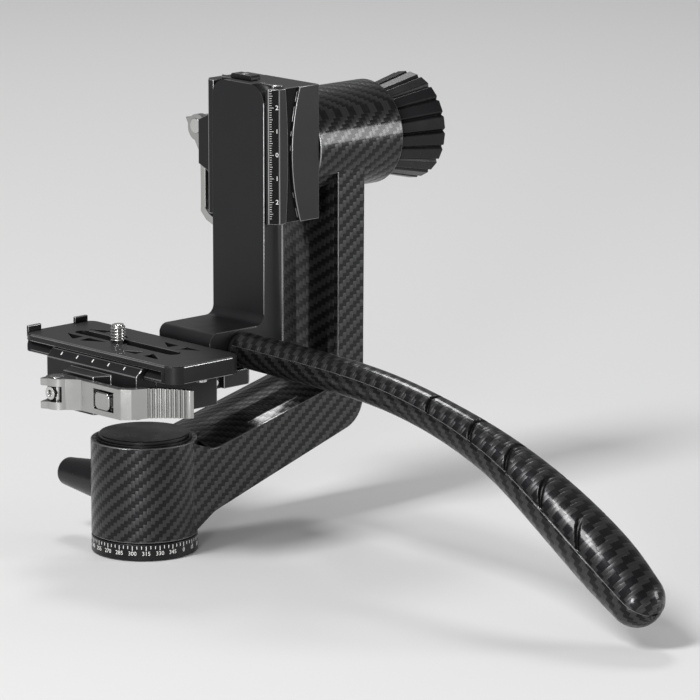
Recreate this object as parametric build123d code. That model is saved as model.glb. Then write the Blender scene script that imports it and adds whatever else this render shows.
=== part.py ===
from build123d import *
import math
import os

# Gimbal tripod head: a panning base, a carbon arm, and a cradle that tilts on the arm's hub.
# Millimetres. The origin is the centre of the base's underside, on the pan axis. +Z is up,
# +X runs along the tilt axis from the cradle to the tilt knob, and the handle points to -Y.

# ---- running clearances ----
RUN = 0.05          # round pins, rods and shafts in their bores, on radius
FIT = 0.02          # pieces bonded or pressed into a bore, on radius
SLIDE = 0.1         # flat faces that slide past each other
GAP = 0.3           # faces that must never touch

# ---- panning base ----
BASE_R = 22.3
RING_H = 7.2
RING_WALL = 5.1
RING_BORE_R = BASE_R - RING_WALL
PLATE_H = 6.8
TRIPOD_R = 4.8      # wall of the 3/8 inch tripod thread
TRIPOD_DEPTH = 6.8
BUSH_R = 7.5
SPINDLE_FLANGE_R = RING_BORE_R - 1.2
SPINDLE_FLANGE_H = 3.2
SPINDLE_R = 6.0
SPINDLE_THREAD_R = 4.8
NUT_AF = 14.0
NUT_H = 3.6
WASHER_H = 1.0
BASE_SCREW_N = 3
BASE_SCREW_PCD_R = 11.4
BASE_SCREW_R = 1.5

# ---- arm: base cylinder, limb, upright and hub, one moulding ----
CYL_BOTTOM = 7.5
CYL_TOP = 48.0
CYL_WALL = 2.2
CAP_R = BASE_R - 3.4
CAP_TOP = 50.2
CAP_SEAT_H = 4.6
ARM_HALF_W = 19.5
ARM_WALL = 3.0
LIMB_START_X = BASE_R - GAP
LIMB_TOP_Z = 42.4
LIMB_TOP_SLOPE = 13.6
LIMB_BOTTOM_Z = 15.8
LIMB_BOTTOM_SLOPE = 17.3
FLARE_X = 10.6      # where the limb's flare into the base cylinder ends
FLARE_TOP = 4.2
FLARE_BOTTOM = 0.6
UPRIGHT_IN_X = 92.8
UPRIGHT_OUT_X = 107.6
ELBOW_OUT_R = 14.0
ELBOW_IN_R = 6.0
CROWN = 2.6
CROWN_LIP = 1.4
CORE_ELBOW_DROP = 4.2
CORE_ELBOW_RISE = 10.5
TILT_Z = 162.5
HUB_R = 22.5
HUB_WALL = 2.2
HUB_IN_X = 80.3
HUB_OUT_X = 128.0

# ---- bearings ----
PAN_BEARING_OD = 26.0
PAN_BEARING_H = 7.0
PAN_BEARING_LOW_Z = 13.2
PAN_BEARING_HIGH_Z = 32.0
TILT_BEARING_OD = 28.0
TILT_BEARING_W = 8.0
TILT_BEARING_IN_X = 85.0
TILT_BEARING_OUT_X = 111.0

# ---- pan lock ----
LOCK_Z = 24.6
LOCK_ROOT_R = 8.8
LOCK_END_R = 5.9
LOCK_LEN = 26.4
LOCK_START_Y = BASE_R + 1.7
LOCK_END_Y = LOCK_START_Y + LOCK_LEN
LOCK_STUD_R = 2.5
LOCK_BUSH_R = 5.0
SHOE_R = 3.6
SHOE_TRAVEL = 0.4
GUIDE_WALL = 2.0

# ---- tilt shaft and knob ----
SHAFT_FLANGE_R = 18.0
SHAFT_FLANGE_W = 3.6
SHAFT_R = 8.0
SHAFT_STUD_R = 5.0
FLANGE_SCREW_Y = 14.0
FLANGE_SCREW_Z = 24.4
FLANGE_SCREW_SEAT = 6.8
FLANGE_SCREW_LEN = 11.0
FLANGE_SCREW_GRIP = 2.5
PRESSURE_RING_W = 2.4
PRESSURE_TRAVEL = 0.2
KNOB_START_X = 128.6
KNOB_END_X = 152.2
KNOB_SMALL_R = 18.0
KNOB_LARGE_R = 23.3
KNOB_FLUTES = 20
KNOB_FLUTE_DEPTH = 1.3
KNOB_FLUTE_SHARE = 0.16
INSERT_R = 8.5

# ---- dovetail that both clamps hold ----
TAIL_HALF_W = 19.0
TAIL_STEP = 2.9
TAIL_NECK_HALF_W = TAIL_HALF_W - TAIL_STEP
TAIL_EDGE_H = 1.0

# ---- clamps: fixed side, jaw side and depth, measured from the rail's centre and seat ----
CLAMP_FIXED_W = TAIL_HALF_W + 2.5
CLAMP_SPLIT_W = TAIL_HALF_W - 7.0
JAW_OUT_W = TAIL_HALF_W + 3.8
CLAMP_LEN = 57.3
PIN_OFFSET = 5.2    # lever pin from the middle of the clamp
BUMP_LEN = 19.0
LEVER_DROP = 8.2
UPPER_DEPTH = 17.6
UPPER_MIDDLE_Z = TILT_Z - 0.45
UPPER_BUMP_W = JAW_OUT_W + 9.2
UPPER_BUMP_TOP = 3.0
UPPER_LIP_H = 8.2
UPPER_CHAMFER = 3.3
LOWER_DEPTH = 17.2
LOWER_CENTRE_Y = 6.6
LOWER_BUMP_W = JAW_OUT_W + 7.1
LOWER_BUMP_TOP = -0.6
LOWER_LIP_H = 4.3
LOWER_CHAMFER = 3.2
BUMP_RAMP = 0.45    # length of the bump's ramp for each millimetre it stands out
RECESS_DEPTH = 1.2
RECESS_NEAR_END_W = 1.3
RECESS_NEAR_MID_W = 0.0
RECESS_FAR_END_W = -7.2
RECESS_FAR_MID_W = -2.3
ROD_R = 2.5
ROD_END_W = 2.9 - CLAMP_FIXED_W
BARREL_NUT_R = 4.0
BARREL_NUT_W = 8.5 - CLAMP_FIXED_W
BARREL_NUT_LOW = -12.6
ROD_HEAD_R = 2.8
ROD_HEAD_H = 1.6
ROD_HEAD_SEAT = 2.2

# ---- cam lever, about its pin ----
PIN_R = 3.2
PIN_TO_BUMP = 7.1
CAM_R = 5.8
CAM_THROW = 1.2
CAM_LEAD = 35.0
FORK_H = 13.0
TAIL_H = 10.4
SLOT_HALF_H = 3.3
SLOT_END_U = -5.6
LEVER_T = 3.0
LEVER_FLAT_V = -3.1
WINDOW_LEN = 12.6
WINDOW_H = 8.4
WINDOW_U = -26.0
BUTTON_LEN = 9.0
BUTTON_H = 7.4
BUTTON_PROUD = 1.0
BUTTON_TRAVEL = 0.8
RIB_N = 9
RIB_PITCH = 1.9
RIB_W = 0.9
RIB_DEPTH = 0.7
BEND_FROM_U = -42.0  # the lever's bends that are rounded lie between these two
BEND_TO_U = -10.0

# ---- L-bracket ----
LEG_FRONT_X = 53.4
LEG_SEAT_X = 62.4
LEG_ABOVE_CLAMP = 1.3
LEG_TOP_Z = UPPER_MIDDLE_Z + CLAMP_LEN / 2 + LEG_ABOVE_CLAMP
LEG_CORNER_R = 8.0
FOOT_LEFT_X = 22.9
FOOT_TOP_Z = 90.6
FOOT_BOTTOM_Z = 74.0
FOOT_NOSE_R = 4.0
FOOT_FILLET_R = 4.2
STOP_W = 13.0
STOP_H = 2.2

# ---- platform that joins the lower clamp to the foot ----
PLATFORM_TOP_Z = 73.9
PLATFORM_BOTTOM_Z = 67.0
PLATFORM_END_X = 46.0
PLATFORM_HALF_W = TAIL_NECK_HALF_W + 1.9
PLATFORM_CORNER = 3.2
PLATFORM_STEP_X = 29.0
PLATFORM_STEP = 1.8
FOOT_SCREW_R = 3.4
FOOT_SCREW_H = 3.0
STOP_PIN_R = 1.4
STOP_PIN_Z = 70.3

# ---- camera plate ----
SEAT_Z = 79.2
PLATE_TOP_Z = 86.7
PLATE_HALF_W = TAIL_HALF_W
PLATE_FLANGE_H = 2.9
PLATE_MIN_Y = -41.0
PLATE_MAX_Y = 56.4
PLATE_CORNER_R = 6.0
PLATE_BLOCK_LEN = 8.0
TAB_W = 7.0
TAB_T = 1.4
TAB_H = 2.6
TAB_OUT_X = PLATE_HALF_W - 2.7
TAB_KEY = 2.2       # how far a tab is let into the plate
SLOT_HALF_W = 3.3
SLOT_START_Y = -22.0
SLOT_END_Y = 42.0
TRUSS_WEB = 2.2
# triangular openings as (X, Y), mirrored to the other side of the slot
TRUSS_POCKETS = [
    [(5.4, 43.0), (12.0, 31.2), (5.4, 31.2)],
    [(5.4, 28.2), (12.0, 27.2), (5.4, 15.2)],
    [(12.4, 1.0), (12.4, -9.6), (6.2, -8.6)],
    [(12.4, -13.8), (12.4, -25.0), (6.2, -13.8)],
]
TRUSS_CORNER_R = 0.6
CAMERA_SCREW_Y = 16.0
CAMERA_SCREW_R = 3.175
CAMERA_SCREW_NECK_R = 2.5
CAMERA_SCREW_PROUD = 7.0
SCREW_HEAD_H = 1.9
SLIDER_R = 6.2
SLIDER_DROP = 1.4    # the slider's top below the plate's
RECESS_TOP_Z = 82.9

# ---- handle: stations along its centre line ----
HANDLE_X = 40.0
# distance out from the bracket's side, Z and radius
HANDLE_COURSE = [
    (2.3, 81.9, 7.7),
    (33.9, 81.3, 7.8),
    (63.9, 80.3, 7.8),
    (87.9, 78.4, 7.8),
    (109.9, 74.9, 7.9),
    (128.9, 70.5, 8.3),
    (143.9, 66.1, 8.9),
    (158.9, 60.6, 9.7),
    (173.9, 53.6, 10.9),
    (188.9, 45.5, 12.0),
    (203.9, 36.6, 12.7),
    (216.9, 28.2, 12.7),
    (229.9, 19.0, 11.5),
]
HANDLE_STATIONS = [(-TAIL_NECK_HALF_W - out, z, radius) for out, z, radius in HANDLE_COURSE]
HANDLE_STEP = 0.45
HANDLE_WALL = 2.4
HANDLE_SEAM_RISE = 3.0
SEAM_OVERRUN = 20.0
GROOVE_W = 1.6
GROOVE_LEAN = 20.0
GROOVE_DEPTH = 0.95
GROOVE_SHARES = [0.518, 0.629, 0.725, 0.819, 0.913]  # of the run from the first station to the last
STUD_R = 4.0
STUD_IN = 14.0
STUD_OUT = 26.0

os.makedirs("parts", exist_ok=True)


def save(name, *pieces):
    """Write one sub-part, made of one solid or a group of separate solids."""
    solids = [solid for piece in pieces for solid in piece.solids()]
    export_step(solids[0] if len(solids) == 1 else Compound(children=solids), f"parts/{name}.step")


def up_cyl(radius, z_low, z_high, x=0.0, y=0.0):
    """Upright cylinder between two heights."""
    return Pos(x, y, (z_low + z_high) / 2) * Cylinder(radius, z_high - z_low)


def x_cyl(radius, x_low, x_high, y=0.0, z=TILT_Z):
    """Cylinder along X, on the tilt axis unless told otherwise."""
    return Pos((x_low + x_high) / 2, y, z) * Rot(0, 90, 0) * Cylinder(radius, x_high - x_low)


def y_cyl(radius, y_low, y_high, x=0.0, z=0.0):
    """Cylinder along Y."""
    return Pos(x, (y_low + y_high) / 2, z) * Rot(90, 0, 0) * Cylinder(radius, y_high - y_low)


def block(x_low, x_high, y_low, y_high, z_low, z_high):
    """Box between two corners."""
    size = Box(x_high - x_low, y_high - y_low, z_high - z_low)
    return Pos((x_low + x_high) / 2, (y_low + y_high) / 2, (z_low + z_high) / 2) * size


def outline_xz(points, half_width):
    """Prism across Y from an outline of (X, Z) points."""
    face = make_face(Plane.XZ * Polyline(*points, close=True))
    return extrude(face, half_width, both=True)


def edges_near(solid, x, z, reach=0.6):
    """Edges along Y that pass close to one (X, Z) place."""
    found = []
    for edge in solid.edges().filter_by(Axis.Y):
        middle = edge.center()
        if abs(middle.X - x) < reach and abs(middle.Z - z) < reach:
            found.append(edge)
    return found


# ==== panning base ====

def make_base():
    """Scale ring, base plate, tripod bush, spindle and its fastenings."""
    ring = up_cyl(BASE_R, 0, RING_H) - up_cyl(RING_BORE_R, -1, RING_H + 1)
    ring = chamfer(ring.edges().filter_by(GeomType.CIRCLE).group_by(SortBy.RADIUS)[-1], 0.4)
    save("scale_ring", ring)

    screw_places = PolarLocations(BASE_SCREW_PCD_R, BASE_SCREW_N)
    head_r = BASE_SCREW_R * 2
    plate = up_cyl(RING_BORE_R - FIT, 0, PLATE_H) - up_cyl(BUSH_R, -1, PLATE_H + 1)
    plate -= screw_places * up_cyl(BASE_SCREW_R + FIT, -1, PLATE_H + 1)
    plate -= screw_places * up_cyl(head_r + FIT, -1, BASE_SCREW_R * 2)
    save("base_plate", plate)

    bush = up_cyl(BUSH_R - FIT, 0, TRIPOD_DEPTH) - up_cyl(TRIPOD_R, -1, TRIPOD_DEPTH + 1)
    save("tripod_bush", bush)

    flange_top = PLATE_H + SPINDLE_FLANGE_H
    washer_low = PAN_BEARING_HIGH_Z + PAN_BEARING_H
    nut_low = washer_low + WASHER_H
    nut_top = nut_low + NUT_H
    spindle = up_cyl(SPINDLE_FLANGE_R, PLATE_H, flange_top)
    spindle += up_cyl(SPINDLE_R, flange_top, washer_low)
    spindle += up_cyl(SPINDLE_THREAD_R, washer_low, nut_top)
    spindle -= screw_places * up_cyl(BASE_SCREW_R + FIT, PLATE_H - 1, flange_top - 0.6)
    save("pan_spindle", spindle)

    screw = up_cyl(BASE_SCREW_R, BASE_SCREW_R * 2, flange_top - 0.8)
    screw += up_cyl(head_r, 0.6, BASE_SCREW_R * 2)
    hex_key = extrude(Pos(0, 0, 0.6) * RegularPolygon(BASE_SCREW_R * 0.8, 6), BASE_SCREW_R)
    save("base_screws", *(screw_places * (screw - hex_key)))

    washer = up_cyl(SPINDLE_R + 3.0, washer_low, nut_low) - up_cyl(SPINDLE_THREAD_R + FIT, 0, nut_top)
    save("preload_washer", washer)
    nut = extrude(Pos(0, 0, nut_low) * RegularPolygon(NUT_AF / 2, 6, major_radius=False), NUT_H)
    save("spindle_nut", nut - up_cyl(SPINDLE_THREAD_R + FIT, 0, nut_top + 1))


# ==== arm ====

def limb_line(x, z_start, slope):
    """Height of a sloping limb edge at X."""
    return z_start + (x - LIMB_START_X) * math.tan(math.radians(slope))


def arm_outline():
    """Side view of the limb and upright as (X, Z) points, before its corners are rounded."""
    low_z = limb_line(UPRIGHT_OUT_X, LIMB_BOTTOM_Z, LIMB_BOTTOM_SLOPE)
    high_z = limb_line(UPRIGHT_IN_X, LIMB_TOP_Z, LIMB_TOP_SLOPE)
    return [
        (0, CYL_BOTTOM),
        (FLARE_X, CYL_BOTTOM + FLARE_BOTTOM),
        (LIMB_START_X, LIMB_BOTTOM_Z),
        (UPRIGHT_OUT_X, low_z),
        (UPRIGHT_OUT_X, TILT_Z),
        (UPRIGHT_IN_X, TILT_Z),
        (UPRIGHT_IN_X, high_z),
        (LIMB_START_X, LIMB_TOP_Z),
        (FLARE_X, LIMB_TOP_Z + FLARE_TOP),
        (0, LIMB_TOP_Z + FLARE_TOP),
    ]


def crown_prism(length):
    """Shallow rounded bulge, as long as asked, that swells towards +Z over the XY plane."""
    half = ARM_HALF_W - CROWN_LIP
    arc = ThreePointArc((-half, 0), (0, CROWN), (half, 0))
    skirt = Polyline((half, 0), (half, -CROWN), (-half, -CROWN), (-half, 0))
    face = make_face(Plane.YZ * (arc + skirt))
    return extrude(face, length, dir=(1, 0, 0))


def make_arm():
    """The carbon moulding with its core, cap, pan housing and hub sleeve."""
    limb = outline_xz(arm_outline(), ARM_HALF_W)
    low_z = limb_line(UPRIGHT_OUT_X, LIMB_BOTTOM_Z, LIMB_BOTTOM_SLOPE)
    high_z = limb_line(UPRIGHT_IN_X, LIMB_TOP_Z, LIMB_TOP_SLOPE)
    limb = fillet(edges_near(limb, UPRIGHT_OUT_X, low_z), ELBOW_OUT_R)
    limb = fillet(edges_near(limb, LIMB_START_X, LIMB_TOP_Z), ELBOW_IN_R * 2)
    limb = fillet(edges_near(limb, LIMB_START_X, LIMB_BOTTOM_Z), ELBOW_IN_R * 2)
    limb = fillet(edges_near(limb, UPRIGHT_IN_X, high_z), ELBOW_IN_R)

    slope_len = (UPRIGHT_OUT_X - CROWN) / math.cos(math.radians(LIMB_TOP_SLOPE))
    start_z = limb_line(0, LIMB_TOP_Z, LIMB_TOP_SLOPE)
    sloping_crown = Pos(0, 0, start_z) * Rot(0, -LIMB_TOP_SLOPE, 0) * crown_prism(slope_len)
    sloping_crown &= block(LIMB_START_X, UPRIGHT_OUT_X - ARM_WALL, -BASE_R, BASE_R, 0, TILT_Z)
    upright_crown = Pos(UPRIGHT_IN_X, 0, high_z) * Rot(0, -90, 0) * crown_prism(TILT_Z - high_z)
    shell = limb + sloping_crown + upright_crown

    hub = x_cyl(HUB_R, HUB_IN_X, HUB_OUT_X)
    cylinder = up_cyl(BASE_R, CYL_BOTTOM, CYL_TOP)
    shell = shell + hub + cylinder

    sleeve_r = HUB_R - HUB_WALL
    housing_r = BASE_R - CYL_WALL
    shell -= x_cyl(sleeve_r, HUB_IN_X - 1, HUB_OUT_X + 1)
    shell -= up_cyl(housing_r, CYL_BOTTOM - 1, CYL_TOP + 1)
    shell -= y_cyl(LOCK_BUSH_R, 0, BASE_R + 5, z=LOCK_Z)

    core_points = [
        (BASE_R + ARM_WALL, limb_line(BASE_R + ARM_WALL, LIMB_BOTTOM_Z, LIMB_BOTTOM_SLOPE) + ARM_WALL),
        (UPRIGHT_OUT_X - ELBOW_OUT_R, low_z - CORE_ELBOW_DROP + ARM_WALL),
        (UPRIGHT_OUT_X - ARM_WALL, low_z + CORE_ELBOW_RISE),
        (UPRIGHT_OUT_X - ARM_WALL, TILT_Z - HUB_R - ARM_WALL),
        (UPRIGHT_IN_X + ARM_WALL, TILT_Z - HUB_R - ARM_WALL),
        (UPRIGHT_IN_X + ARM_WALL, high_z - ARM_WALL),
        (BASE_R + ARM_WALL, limb_line(BASE_R + ARM_WALL, LIMB_TOP_Z, LIMB_TOP_SLOPE) - ARM_WALL),
    ]
    core = outline_xz(core_points, ARM_HALF_W - ARM_WALL)
    shell -= core
    save("arm_shell", shell)
    save("arm_core", core)

    seat_low = CYL_TOP + 0.6 - CAP_SEAT_H
    housing_low = PLATE_H + SPINDLE_FLANGE_H + GAP
    bearing_r = PAN_BEARING_OD / 2
    housing = up_cyl(housing_r - FIT, CYL_BOTTOM + 0.3, seat_low)
    housing -= up_cyl(SPINDLE_FLANGE_R + GAP, 0, housing_low)
    housing -= up_cyl(bearing_r, PAN_BEARING_LOW_Z, PAN_BEARING_HIGH_Z + PAN_BEARING_H)
    housing -= up_cyl(SPINDLE_R + 3.6, housing_low - 1, seat_low + 1)
    housing -= y_cyl(LOCK_BUSH_R, bearing_r - 1, BASE_R, z=LOCK_Z)
    save("pan_housing", housing)

    spacer = up_cyl(bearing_r - FIT, PAN_BEARING_LOW_Z + PAN_BEARING_H, PAN_BEARING_HIGH_Z)
    guide = y_cyl(SHOE_R + GUIDE_WALL, SPINDLE_R + 0.6, bearing_r - 0.2, z=LOCK_Z) & spacer
    guide += spacer - up_cyl(bearing_r - GUIDE_WALL, 0, TILT_Z)
    guide -= y_cyl(SHOE_R + RUN, 0, bearing_r + 1, z=LOCK_Z)
    save("shoe_guide", guide)

    for name, low in (("pan_bearing_lower", PAN_BEARING_LOW_Z), ("pan_bearing_upper", PAN_BEARING_HIGH_Z)):
        high = low + PAN_BEARING_H
        bearing = up_cyl(bearing_r - FIT, low, high) - up_cyl(SPINDLE_R + RUN, low - 1, high + 1)
        bearing -= up_cyl(bearing_r - 3, high - 0.6, high + 1) - up_cyl(SPINDLE_R + 2.4, low, high + 2)
        save(name, bearing)

    seat = up_cyl(housing_r - FIT, seat_low, CYL_TOP + 0.6) - up_cyl(housing_r - 5.0, 0, CYL_TOP + 2)
    save("cap_seat_ring", seat)
    cap = up_cyl(CAP_R, CYL_TOP + 0.6, CAP_TOP)
    cap += up_cyl(housing_r - 5.0 - RUN, seat_low + 0.8, CYL_TOP + 0.6)
    cap = chamfer(cap.edges().group_by(Axis.Z)[-1], 0.4)
    save("pan_cap", cap)

    bush_in = bearing_r + 0.2
    bush = y_cyl(LOCK_BUSH_R - FIT, bush_in, BASE_R + 0.8, z=LOCK_Z)
    bush -= y_cyl(LOCK_STUD_R + RUN, 0, BASE_R + 5, z=LOCK_Z)
    save("pan_lock_bush", bush)

    sleeve = x_cyl(sleeve_r - FIT, HUB_IN_X + 0.2, HUB_OUT_X - 0.4)
    sleeve -= x_cyl(SHAFT_R + 3.4, HUB_IN_X - 1, HUB_OUT_X + 1)
    bearing_r = TILT_BEARING_OD / 2
    sleeve -= x_cyl(bearing_r, TILT_BEARING_IN_X, TILT_BEARING_IN_X + TILT_BEARING_W)
    sleeve -= x_cyl(bearing_r, TILT_BEARING_OUT_X, TILT_BEARING_OUT_X + TILT_BEARING_W)
    flange_pocket = HUB_IN_X + SHAFT_FLANGE_W + GAP
    sleeve -= x_cyl(SHAFT_FLANGE_R + GAP, HUB_IN_X - 1, flange_pocket)
    ring_pocket = TILT_BEARING_OUT_X + TILT_BEARING_W
    sleeve -= x_cyl(INSERT_R + 3.0, ring_pocket, HUB_OUT_X + 1)
    save("hub_sleeve", sleeve)
    for name, low in (("tilt_bearing_inner", TILT_BEARING_IN_X), ("tilt_bearing_outer", TILT_BEARING_OUT_X)):
        high = low + TILT_BEARING_W
        bearing = x_cyl(bearing_r - FIT, low, high) - x_cyl(SHAFT_R + RUN, low - 1, high + 1)
        bearing -= x_cyl(bearing_r - 3, high - 0.6, high + 1) - x_cyl(SHAFT_R + 2.4, low, high + 2)
        save(name, bearing)


# ==== pan lock ====

def make_pan_lock():
    """Tapered knob with its stud, and the shoe that it presses on the spindle."""
    middle = Pos(0, (LOCK_START_Y + LOCK_END_Y) / 2, LOCK_Z)
    knob = middle * Rot(-90, 0, 0) * Cone(LOCK_ROOT_R, LOCK_END_R, LOCK_LEN)
    knob = fillet(knob.edges().group_by(Axis.Y)[-1], 1.6)
    knob = chamfer(knob.edges().group_by(Axis.Y)[0], 0.5)
    stud_end = LOCK_START_Y + LOCK_LEN * 0.55
    knob -= y_cyl(LOCK_STUD_R, LOCK_START_Y - 1, stud_end, z=LOCK_Z)
    save("pan_lock_knob", knob)
    shoe_out = PAN_BEARING_OD / 2 - 1.4
    save("pan_lock_stud", y_cyl(LOCK_STUD_R, shoe_out + SLIDE, stud_end, z=LOCK_Z))
    shoe = y_cyl(SHOE_R, SPINDLE_R - 2, shoe_out, z=LOCK_Z)
    shoe -= up_cyl(SPINDLE_R + SHOE_TRAVEL + SLIDE, 0, TILT_Z)
    save("pan_brake_shoe", shoe)


# ==== tilt ====

def flute_outline(radius):
    """Closed outline of the fluted knob at one radius, in the YZ plane."""
    points = []
    pitch = 2 * math.pi / KNOB_FLUTES
    edge = pitch * KNOB_FLUTE_SHARE
    for flute in range(KNOB_FLUTES):
        angle = flute * pitch
        for turn, level in ((-edge, radius), (0.0, radius - KNOB_FLUTE_DEPTH), (edge, radius)):
            points.append((level * math.cos(angle + turn), level * math.sin(angle + turn)))
    return Polyline(*points, close=True)


def make_tilt():
    """Tilt shaft, pressure ring and the fluted knob with its insert and end disc."""
    flange_low = LEG_SEAT_X + UPPER_DEPTH
    shaft_end = TILT_BEARING_OUT_X + TILT_BEARING_W
    stud_end = KNOB_END_X - 5.0
    shaft = x_cyl(SHAFT_FLANGE_R, flange_low, HUB_IN_X + SHAFT_FLANGE_W)
    shaft += x_cyl(SHAFT_R, flange_low, shaft_end)
    shaft += x_cyl(SHAFT_STUD_R, shaft_end, stud_end)
    for place in flange_screw_places(flange_low):
        shaft -= place * screw_hole(SHAFT_FLANGE_W * 3)
    save("tilt_shaft", shaft)

    ring_low = shaft_end + SLIDE + PRESSURE_TRAVEL
    ring_high = ring_low + PRESSURE_RING_W
    ring = x_cyl(INSERT_R + 2.0, ring_low, ring_high) - x_cyl(SHAFT_STUD_R + RUN, 0, KNOB_END_X)
    save("pressure_ring", ring)

    knob_low = Plane((KNOB_START_X, 0, TILT_Z), x_dir=(0, 1, 0), z_dir=(1, 0, 0))
    knob_high = Plane((KNOB_END_X, 0, TILT_Z), x_dir=(0, 1, 0), z_dir=(1, 0, 0))
    small = make_face(knob_low * flute_outline(KNOB_SMALL_R))
    large = make_face(knob_high * flute_outline(KNOB_LARGE_R))
    knob = loft([small, large], ruled=True)
    disc_r = KNOB_LARGE_R - 4.0
    disc_low = KNOB_END_X - 2.0
    knob -= x_cyl(disc_r, disc_low, KNOB_END_X + 1)
    knob -= x_cyl(INSERT_R, KNOB_START_X - 1, disc_low + 1)
    save("tilt_knob", knob)
    insert = x_cyl(INSERT_R - FIT, ring_high + SLIDE, disc_low)
    insert -= x_cyl(SHAFT_STUD_R + RUN, 0, stud_end + 0.6)
    save("knob_insert", insert)
    disc = x_cyl(disc_r - FIT, disc_low, KNOB_END_X - 0.4)
    save("knob_end_disc", chamfer(disc.edges().group_by(Axis.X)[-1], 0.3))


def flange_screw_places(x_place):
    """Places of the four screws that join the upper clamp to the shaft flange."""
    face = Plane((x_place, 0, TILT_Z), x_dir=(0, 1, 0), z_dir=(1, 0, 0))
    return [face.location * place for place in GridLocations(FLANGE_SCREW_Y, FLANGE_SCREW_Z, 2, 2)]


def screw_hole(length):
    """Clearance hole of a flange screw, centred on its place."""
    return Cylinder(BASE_SCREW_R + FIT, length)


# ==== clamps, in a frame of their own: u along the rail, v outwards on the lever side, w to the rail ====

def clamp_frame_upper():
    """Frame of the upper clamp: u up, v towards +Y, w towards the cradle."""
    return Plane((LEG_SEAT_X, 0, UPPER_MIDDLE_Z), x_dir=(0, 0, 1), z_dir=(-1, 0, 0))


def clamp_frame_lower():
    """Frame of the lower clamp: u towards +Y, v towards -X, w up."""
    return Plane((0, LOWER_CENTRE_Y, SEAT_Z), x_dir=(0, 1, 0), z_dir=(0, 0, 1))


def section(points, length):
    """Prism along u, centred, from an outline of (v, w) points."""
    face = make_face(Plane.YZ * Polyline(*points, close=True))
    return extrude(face, length / 2, both=True)


def tail_top():
    """Height of the dovetail's neck above its seat."""
    return TAIL_EDGE_H + TAIL_HALF_W - TAIL_NECK_HALF_W


def fixed_side(depth, lip, corner):
    """Clamp body with its fixed jaw and seat."""
    out = -CLAMP_FIXED_W
    tail = -TAIL_HALF_W - SLIDE
    neck = -TAIL_NECK_HALF_W - SLIDE
    body = section([
        (out, -depth),
        (CLAMP_SPLIT_W, -depth),
        (CLAMP_SPLIT_W, -SLIDE),
        (tail, -SLIDE),
        (tail, TAIL_EDGE_H),
        (neck, tail_top()),
        (neck, lip),
        (out + corner, lip),
        (out, lip - corner),
    ], CLAMP_LEN)
    return body


def moving_side(depth, lip, corner, bump_w, bump_top):
    """Movable jaw with the bump that the cam presses."""
    tail = TAIL_HALF_W + SLIDE
    neck = TAIL_NECK_HALF_W + SLIDE
    inner = CLAMP_SPLIT_W + GAP
    jaw = section([
        (inner, -depth + GAP),
        (JAW_OUT_W, -depth + GAP),
        (JAW_OUT_W, lip - corner),
        (JAW_OUT_W - corner, lip),
        (neck, lip),
        (neck, tail_top()),
        (tail, TAIL_EDGE_H),
        (tail, -SLIDE * 2),
        (inner, -SLIDE * 2),
    ], CLAMP_LEN)
    top = BUMP_LEN / 2
    foot = top + (bump_w - JAW_OUT_W) * BUMP_RAMP
    outline = [(-foot, CLAMP_SPLIT_W + 3), (-foot, JAW_OUT_W), (-top, bump_w), (top, bump_w),
               (foot, JAW_OUT_W), (foot, CLAMP_SPLIT_W + 3)]
    w_low = -depth + GAP
    face = make_face(Plane.XY.offset(w_low) * Polyline(*outline, close=True))
    bump = extrude(face, bump_top - w_low, dir=(0, 0, 1))
    room = section([(0, -SLIDE * 2), (neck, -SLIDE * 2), (neck, TAIL_HALF_W), (0, TAIL_HALF_W)], CLAMP_LEN)
    room += section([(0, -SLIDE * 2), (tail, -SLIDE * 2), (tail, TAIL_EDGE_H), (neck, tail_top())], CLAMP_LEN)
    return jaw + (bump - room)


def v_cyl(radius, v_low, v_high, u, w):
    """Cylinder along v."""
    return Pos(u, (v_low + v_high) / 2, w) * Rot(90, 0, 0) * Cylinder(radius, v_high - v_low)


def tie_rod(pin_v):
    """Socket screw through both sides of the clamp, with its head on the trunnion."""
    seat = pin_v + ROD_HEAD_SEAT
    rod = v_cyl(ROD_R, ROD_END_W, seat, PIN_OFFSET, -LEVER_DROP)
    head_end = seat + ROD_HEAD_H
    rod += v_cyl(ROD_HEAD_R, seat, head_end, PIN_OFFSET, -LEVER_DROP)
    return rod - v_cyl(ROD_HEAD_R / 2, seat + ROD_HEAD_H / 3, head_end + 1, PIN_OFFSET, -LEVER_DROP)


def barrel_nut():
    """Cross-drilled nut under the rail's seat that the tie rod screws into."""
    middle = (BARREL_NUT_LOW - GAP) / 2
    nut = Pos(PIN_OFFSET, BARREL_NUT_W, middle) * Cylinder(BARREL_NUT_R - FIT, -BARREL_NUT_LOW - GAP)
    return nut - v_cyl(ROD_R + FIT, -CLAMP_FIXED_W, 0, PIN_OFFSET, -LEVER_DROP)


def trunnion():
    """Cross pin that the lever turns on, about the origin, flatted for the tie rod's head."""
    pin = Cylinder(PIN_R - RUN, FORK_H + 0.4)
    pin -= Pos(0, ROD_HEAD_SEAT + 5, 0) * Box(4 * PIN_R, 10, 2 * SLOT_HALF_H - 2 * SLIDE)
    return pin - Rot(90, 0, 0) * Cylinder(ROD_R + FIT, 4 * PIN_R)


def rod_passage(radius):
    """Bore for the rod, and the blind bore for its nut, through a whole clamp."""
    bore = v_cyl(radius, ROD_END_W - GAP, UPPER_BUMP_W + PIN_TO_BUMP, PIN_OFFSET, -LEVER_DROP)
    return bore + Pos(PIN_OFFSET, BARREL_NUT_W, BARREL_NUT_LOW / 2) * Cylinder(BARREL_NUT_R, -BARREL_NUT_LOW)


def lever_grip():
    """Outer side of the lever's curved grip, as (u, v) points from the bend to the tip."""
    return [(-42.3, -12.4), (-44.8, -15.4), (-47.8, -18.2), (-51.0, -20.8), (-53.6, -22.6), (-55.9, -24.1)]


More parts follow.
